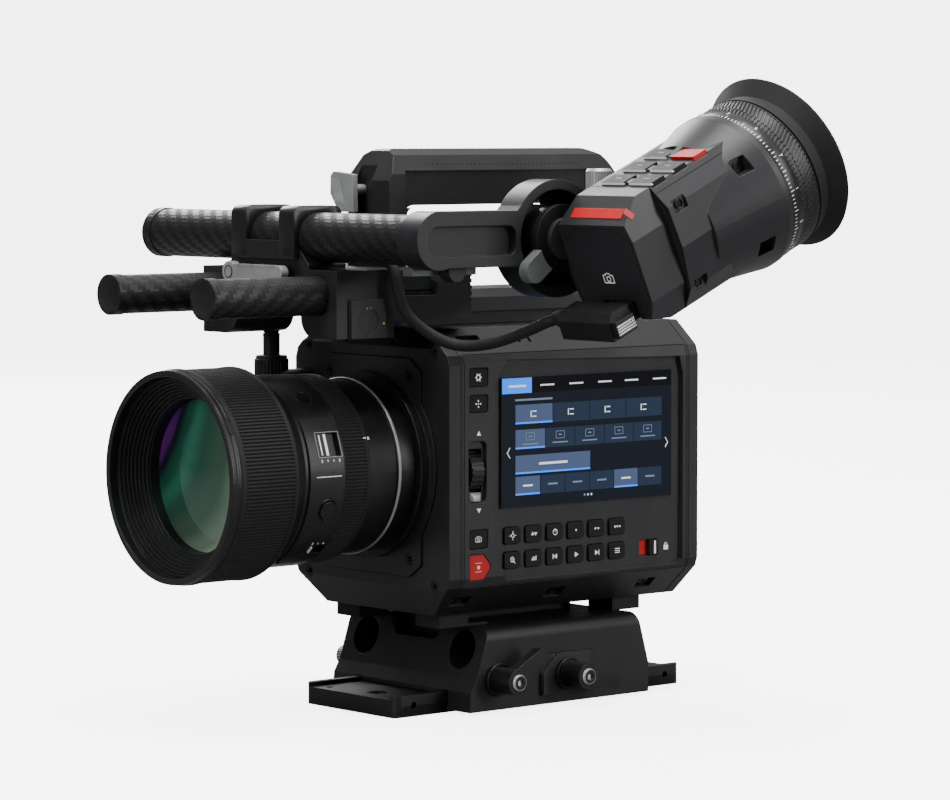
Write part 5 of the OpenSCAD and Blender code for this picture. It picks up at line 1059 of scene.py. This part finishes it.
def outlineRing(name, outline, centre, shrink, thick, place, finish, body):
    # a flat ring that follows an outline, proud of it by a hair
    proud = 1.0018
    clearAll()
    bpy.ops.mesh.primitive_circle_add(vertices=len(outline), radius=0.01)
    piece = bpy.context.object
    for vertex, (x, y) in zip(piece.data.vertices, outline):
        vertex.co = ((x - centre[0]) * proud * mm, (y - centre[1]) * proud * mm, 0)
    bpy.ops.object.mode_set(mode="EDIT")
    bpy.ops.mesh.select_all(action="SELECT")
    bpy.ops.mesh.extrude_region_move()
    bpy.ops.transform.resize(value=(shrink, shrink, 1), center_override=(0, 0, 0))
    bpy.ops.mesh.select_all(action="SELECT")
    bpy.ops.mesh.extrude_region_move(TRANSFORM_OT_translate={"value": (0, 0, thick * mm)})
    bpy.ops.object.mode_set(mode="OBJECT")
    finishPiece(piece, name, finish, body, smooth=0, place=place)


def makeSeams():
    shares = [(0.7, 0), (0.975, 0.107), (1, 0.138), (1, 0.877), (0.971, 0.913), (0.733, 1)]
    half = [(48 * x, 112.3 * y - 56.15) for x, y in shares]
    outline = half + [(-x, y) for x, y in reversed(half)]
    for name, y in (("frontSeam", -59.15), ("rearSeam", 62.65)):
        outlineRing(name, outline, (0, 0), 0.97, 0.3, frontPlace(0, y, 95.65), "seamShadow", "camera")
    shell = [(-16, 14), (-22.6, 5.5), (-23.6, -10.7), (-20.7, -28), (-14.5, -36), (14.5, -36), (20.7, -28),
             (23.6, -10.7), (22.6, 5.5), (16, 14)]
    place = placeFrame(pointAt(116, 17.2, -11), (1, 0, 0), finderUp)
    outlineRing("shellSeam", shell, (0, -11), 0.95, 0.35, place, "seamShadow", "viewfinder")
    print("seams made")


def makeFinderDetails():
    up, along, side = finderUp, finderAlong, Vector((1, 0, 0))
    # stripe over the slanting facet, from (s -2, u 6.8) to (s 9, u 14)
    slant = (along * 11 + up * 7.2).normalized()
    drawSymbol("redStripe", [("bar", 0.35, 0, 27.8, 4.3)], placeFrame(pointAt(116, 2.4, 9.68), side, slant),
               "stripeRed", "viewfinder", high=0.5)
    edge = (up * 13.9 - side * 3.6).normalized()
    place = placeFrame(pointAt(133.15, 2.6, 9.55), along * 0.84 + edge * 0.54, edge * 0.84 - along * 0.54)
    drawSymbol("redStripeSide", [("bar", 0, 0, 2.6, 4.3)], place, "stripeRed", "viewfinder",
               high=0.5)
    face = [(-9.8, 5.4), (-20, -0.9), (-21.4, -8.6), (-18.3, -24.6), (-12.6, -30.3), (-9.4, -30.3),
            (-9.4, -24.4), (-7.4, -22.7), (8.2, -22.7), (12.4, -25.8), (12.4, -30.3), (18.4, -24),
            (18.4, -0.5), (10.4, 5.4)]
    place = placeFrame(pointAt(116, -2.02, 0), side, up)
    drawSymbol("faceLine", strokes(face, 0.32, True), place, "seamShadow", "viewfinder")
    drawSymbol("faceSign", cameraSign(1.55), placeFrame(pointAt(115.9, -2.04, -15.2), side, up), "whitePrint",
               "viewfinder")
    out = Vector((0.79, 0, 0)) + up * 0.613
    place = placeFrame(pointAt(134.2, 41.7, 11.2), along, out.cross(along))
    drawSymbol("sideSeam", [("bar", 0, 0, 49, 0.4)], place, "seamShadow", "viewfinder")
    for row, s in (("front", 18.2), ("middle", 30), ("rear", 41.8)):
        for column, x in (("left", 111), ("right", 126.2)):
            body = "finder_key_" + row + "_" + column
            if (row, column) == ("rear", "right"):
                body = "finder_record_key"
            name = body.replace("finder_", "finder").replace("_", "")
            if body != "finder_record_key":
                edge = blockShape((-6.12, -0.12, -1), (6.12, 0.75, 0.02))
                bpy.ops.object.mode_set(mode="EDIT")
                pickFaces(edge, lambda f: f.normal.y > 0.9)
                bpy.ops.transform.resize(value=(1, 1, 0.25), center_override=(0, 0.75 * mm, -mm))
                finishPiece(edge, name + "Edge", "whitePrint", body, smooth=0,
                            place=placeFrame(pointAt(x, s, 15.2), side, along))
            place = placeFrame(pointAt(x, s + 3.8, 15.22), side, along)
            drawSymbol(name + "Sign", [("bar", 0, 0, 3, 0.5)], place, "greyPrint", body)
    # striped metal end of the plug
    stripes = [("bar", 0, -1.6 + 1.05 * i, 9.2, 0.6) for i in range(4)]
    drawSymbol("plugStripes", stripes, placeFrame(pointAt(129.6, -12.25, -29.5), along, up), "brightScrew",
               "viewfinder", high=0.3)
    print("viewfinder details made")


def makeSmallParts():
    # dots over the grip, dots of the rod block's cover, serrated edge of the carriage lever
    for side in (1, -1):
        dots = [("poly", -44 + 2.2 * i, 0, 0.38, 8) for i in range(38)]
        place = placeFrame((11.25 * side, -3, 215.65), (0, side, 0), (-3.6 * side, 0, 7.3))
        drawSymbol("gripDots" + ("Side" if side > 0 else "Far"), dots, place, "seamShadow", "camera")
    place = sidePlace(43.52, -101.5, 161.5)
    drawSymbol("coverDots", [("poly", -0.8, 0, 0.3, 10), ("poly", 0.8, 0, 0.3, 10)], place, "greyPrint",
               "carriage")
    drawSymbol("coverLamp", [("poly", 0, 0, 0.45, 12)], sidePlace(43.52, -94.2, 155.6), "lampOrange",
               "carriage")
    teeth = [("bar", -11 + 1.3 * i, 2.75, 0.75, 0.9) for i in range(19) if i != 9]
    drawSymbol("leverTeeth", teeth, frontPlace(0, -122.9, 174.5), "silverMetal", "carriage_lever",
               high=0.5)
    ribs = [("bar", -9.4 + 1.2 * i, 0.4 - 0.2 * i, 0.45, 11 - 0.3 * i, 18) for i in range(5)]
    drawSymbol("paddleRibs", ribs, frontPlace(-6.5, -71.3, 205.3), "silverMetal", "handle_paddle",
               high=0.25)
    drawSymbol("plateDot", [("ring", 18.7, -71.5, 1.9, 0.3)], placeFrame((0, 0, 7), (1, 0, 0), (0, 1, 0)),
               "blackScrews", "plate")
    # far side: rims and pins of the connectors; rear: contacts of the battery plate
    for i, y in enumerate((-34, -14, 6, 26)):
        place = axisFrame((-51, y, 72), (-1, 0, 0))
        turnedPiece("jackRim" + str(i + 1), [(-0.6, 3.25), (-0.6, 4.75), (0.1, 4.6), (0.1, 3.25)], 32, place,
                    "silverMetal", "camera")
        turnedPiece("jackPin" + str(i + 1), [(3.6, 0.9), (4.1, 0.8), (4.1, 0.01)], 20, place, "brightScrew",
                    "camera", closed=False)
    place = axisFrame((-51, 42, 96), (-1, 0, 0))
    turnedPiece("powerRim", [(-0.6, 5.6), (-0.6, 8.05), (0.12, 7.7), (0.12, 5.6)], 48, place, "silverMetal",
                "camera")
    pins = [("poly", 3 * math.cos(a), 3 * math.sin(a), 0.7, 12) for a in (0.785, 2.356, 3.927, 5.498)]
    drawSymbol("powerPins", pins, farPlace(-51, 42, 96), "brightScrew", "camera", high=0.5)
    contacts = [("bar", -7.5 + 5 * i, -22, 2.2, 9) for i in range(4)]
    drawSymbol("batteryContacts", contacts, placeFrame((0, 74.5, 114), (-1, 0, 0), (0, 0, 1)), "contactGold",
               "camera")
    slots = [("bar", -20, 118 - 9 * i, 44, 0.5) for i in range(3)]
    drawSymbol("farSlots", slots, farPlace(-46, 0, 0), "seamShadow", "camera")
    print("small parts made")


# viewfinder

def makeDioptreRing():
    # its ends, start of the twisted ribs, radius, bore, number of ribs, height and turn of a step
    ring = {"start": 69, "end": 85, "band": 75, "radius": 31.5, "bore": 27.2, "ribs": 110, "step": 1.5,
            "twist": 1.44}
    low, band, high, radius, bore = (ring[key] for key in ("start", "band", "end", "radius", "bore"))
    steps = [(band + ring["step"] * i, radius) for i in range(1, 7)]
    rings = [(low, radius), (low + 0.4, 31.7), (band - 0.4, 31.7), (band, radius)] + steps
    rings += [(high - 0.4, 31.4), (high, 30.8), (high, bore), (low, bore)]
    sides, twist = ring["ribs"] * 2, math.radians(ring["twist"])
    clearAll()
    bpy.ops.mesh.primitive_circle_add(vertices=sides, radius=radius * mm, location=(0, 0, low * mm))
    piece = bpy.context.object
    bpy.ops.object.transform_apply(location=True)
    bpy.ops.object.mode_set(mode="EDIT")
    bpy.ops.mesh.select_all(action="SELECT")
    for (a0, r0), (a1, r1) in zip(rings, rings[1:]):
        bpy.ops.mesh.extrude_region_move(TRANSFORM_OT_translate={"value": (0, 0, (a1 - a0) * mm)})
        bpy.ops.transform.resize(value=(r1 / r0, r1 / r0, 1), center_override=(0, 0, a1 * mm))
        if (a1, r1) in steps:
            bpy.ops.transform.rotate(value=twist, orient_axis="Z", center_override=(0, 0, a1 * mm))
    pickEdges(piece, lambda e: e.is_boundary)
    bpy.ops.mesh.bridge_edge_loops()

    def isRib(face):
        middle = face.calc_center_median()
        turned = math.atan2(middle.y, middle.x) - (middle.z / mm - band) / ring["step"] * twist
        inBand = band * mm < middle.z < 84.1 * mm and middle.xy.length > 30 * mm
        return inBand and int((turned + 4 * math.pi) / (2 * math.pi / sides)) % 2 == 0

    pickFaces(piece, isRib)
    bpy.ops.mesh.inset(thickness=0.1 * mm, depth=0.4 * mm, use_boundary=True)
    tilt = Matrix.Translation(Vector((116, tiltY, tiltZ)) * mm) @ finderTurn.to_4x4()
    place = tilt @ axisFrame((0, 0, -12), (0, 1, 0))
    finishPiece(piece, "dioptreRing", "blackAnodised", "dioptre_ring", smooth=30,
                place=place)
    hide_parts("dioptre_ring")
    return place


def makeDioptreScale(place):
    # radius, ticks, numbers all round and the highest of them
    scale = {"radius": 31.72, "ticks": 120, "numbers": 14, "highest": 7}
    piece = emptyShape()
    for i in range(scale["ticks"]):
        a = 2 * math.pi * i / scale["ticks"]
        tall = 1.9 if i % 5 == 0 else 1.1
        spot = Vector((scale["radius"] * math.cos(a), scale["radius"] * math.sin(a), 69.9 + tall / 2)) * mm
        bpy.ops.mesh.primitive_cube_add(size=1, location=spot, rotation=(0, 0, a),
                                        scale=(0.08 * mm, 0.28 * mm, tall * mm))
    bpy.ops.object.mode_set(mode="OBJECT")
    marks = [piece]
    for i in range(scale["numbers"]):
        a = 2 * math.pi * i / scale["numbers"]
        out = Vector((math.cos(a), math.sin(a), 0))
        spot = out * scale["radius"] + Vector((0, 0, 73.4))
        turned = placeFrame(spot, Vector((0, 0, 1)).cross(out), (0, 0, 1))
        addNumber(str(i % scale["highest"] + 1), 2.1, turned, marks)
    finishPiece(joinAll(marks), "dioptreScale", "whitePrint", "dioptre_ring", smooth=0,
                place=place)


makeCamera()
makeStage()
makeFinishes()
makeCable()
paintNodes()
makeRodCaps()
makeRingFrames()
makeLensRings()
makeLensGlass()
makeLensDetails()
makeDioptreScale(makeDioptreRing())
print("dioptre ring made")
makeScrews()
makeKnobs()
makeKeySigns()
makeDisplayPicture()
makeSeams()
makeFinderDetails()
makeSmallParts()
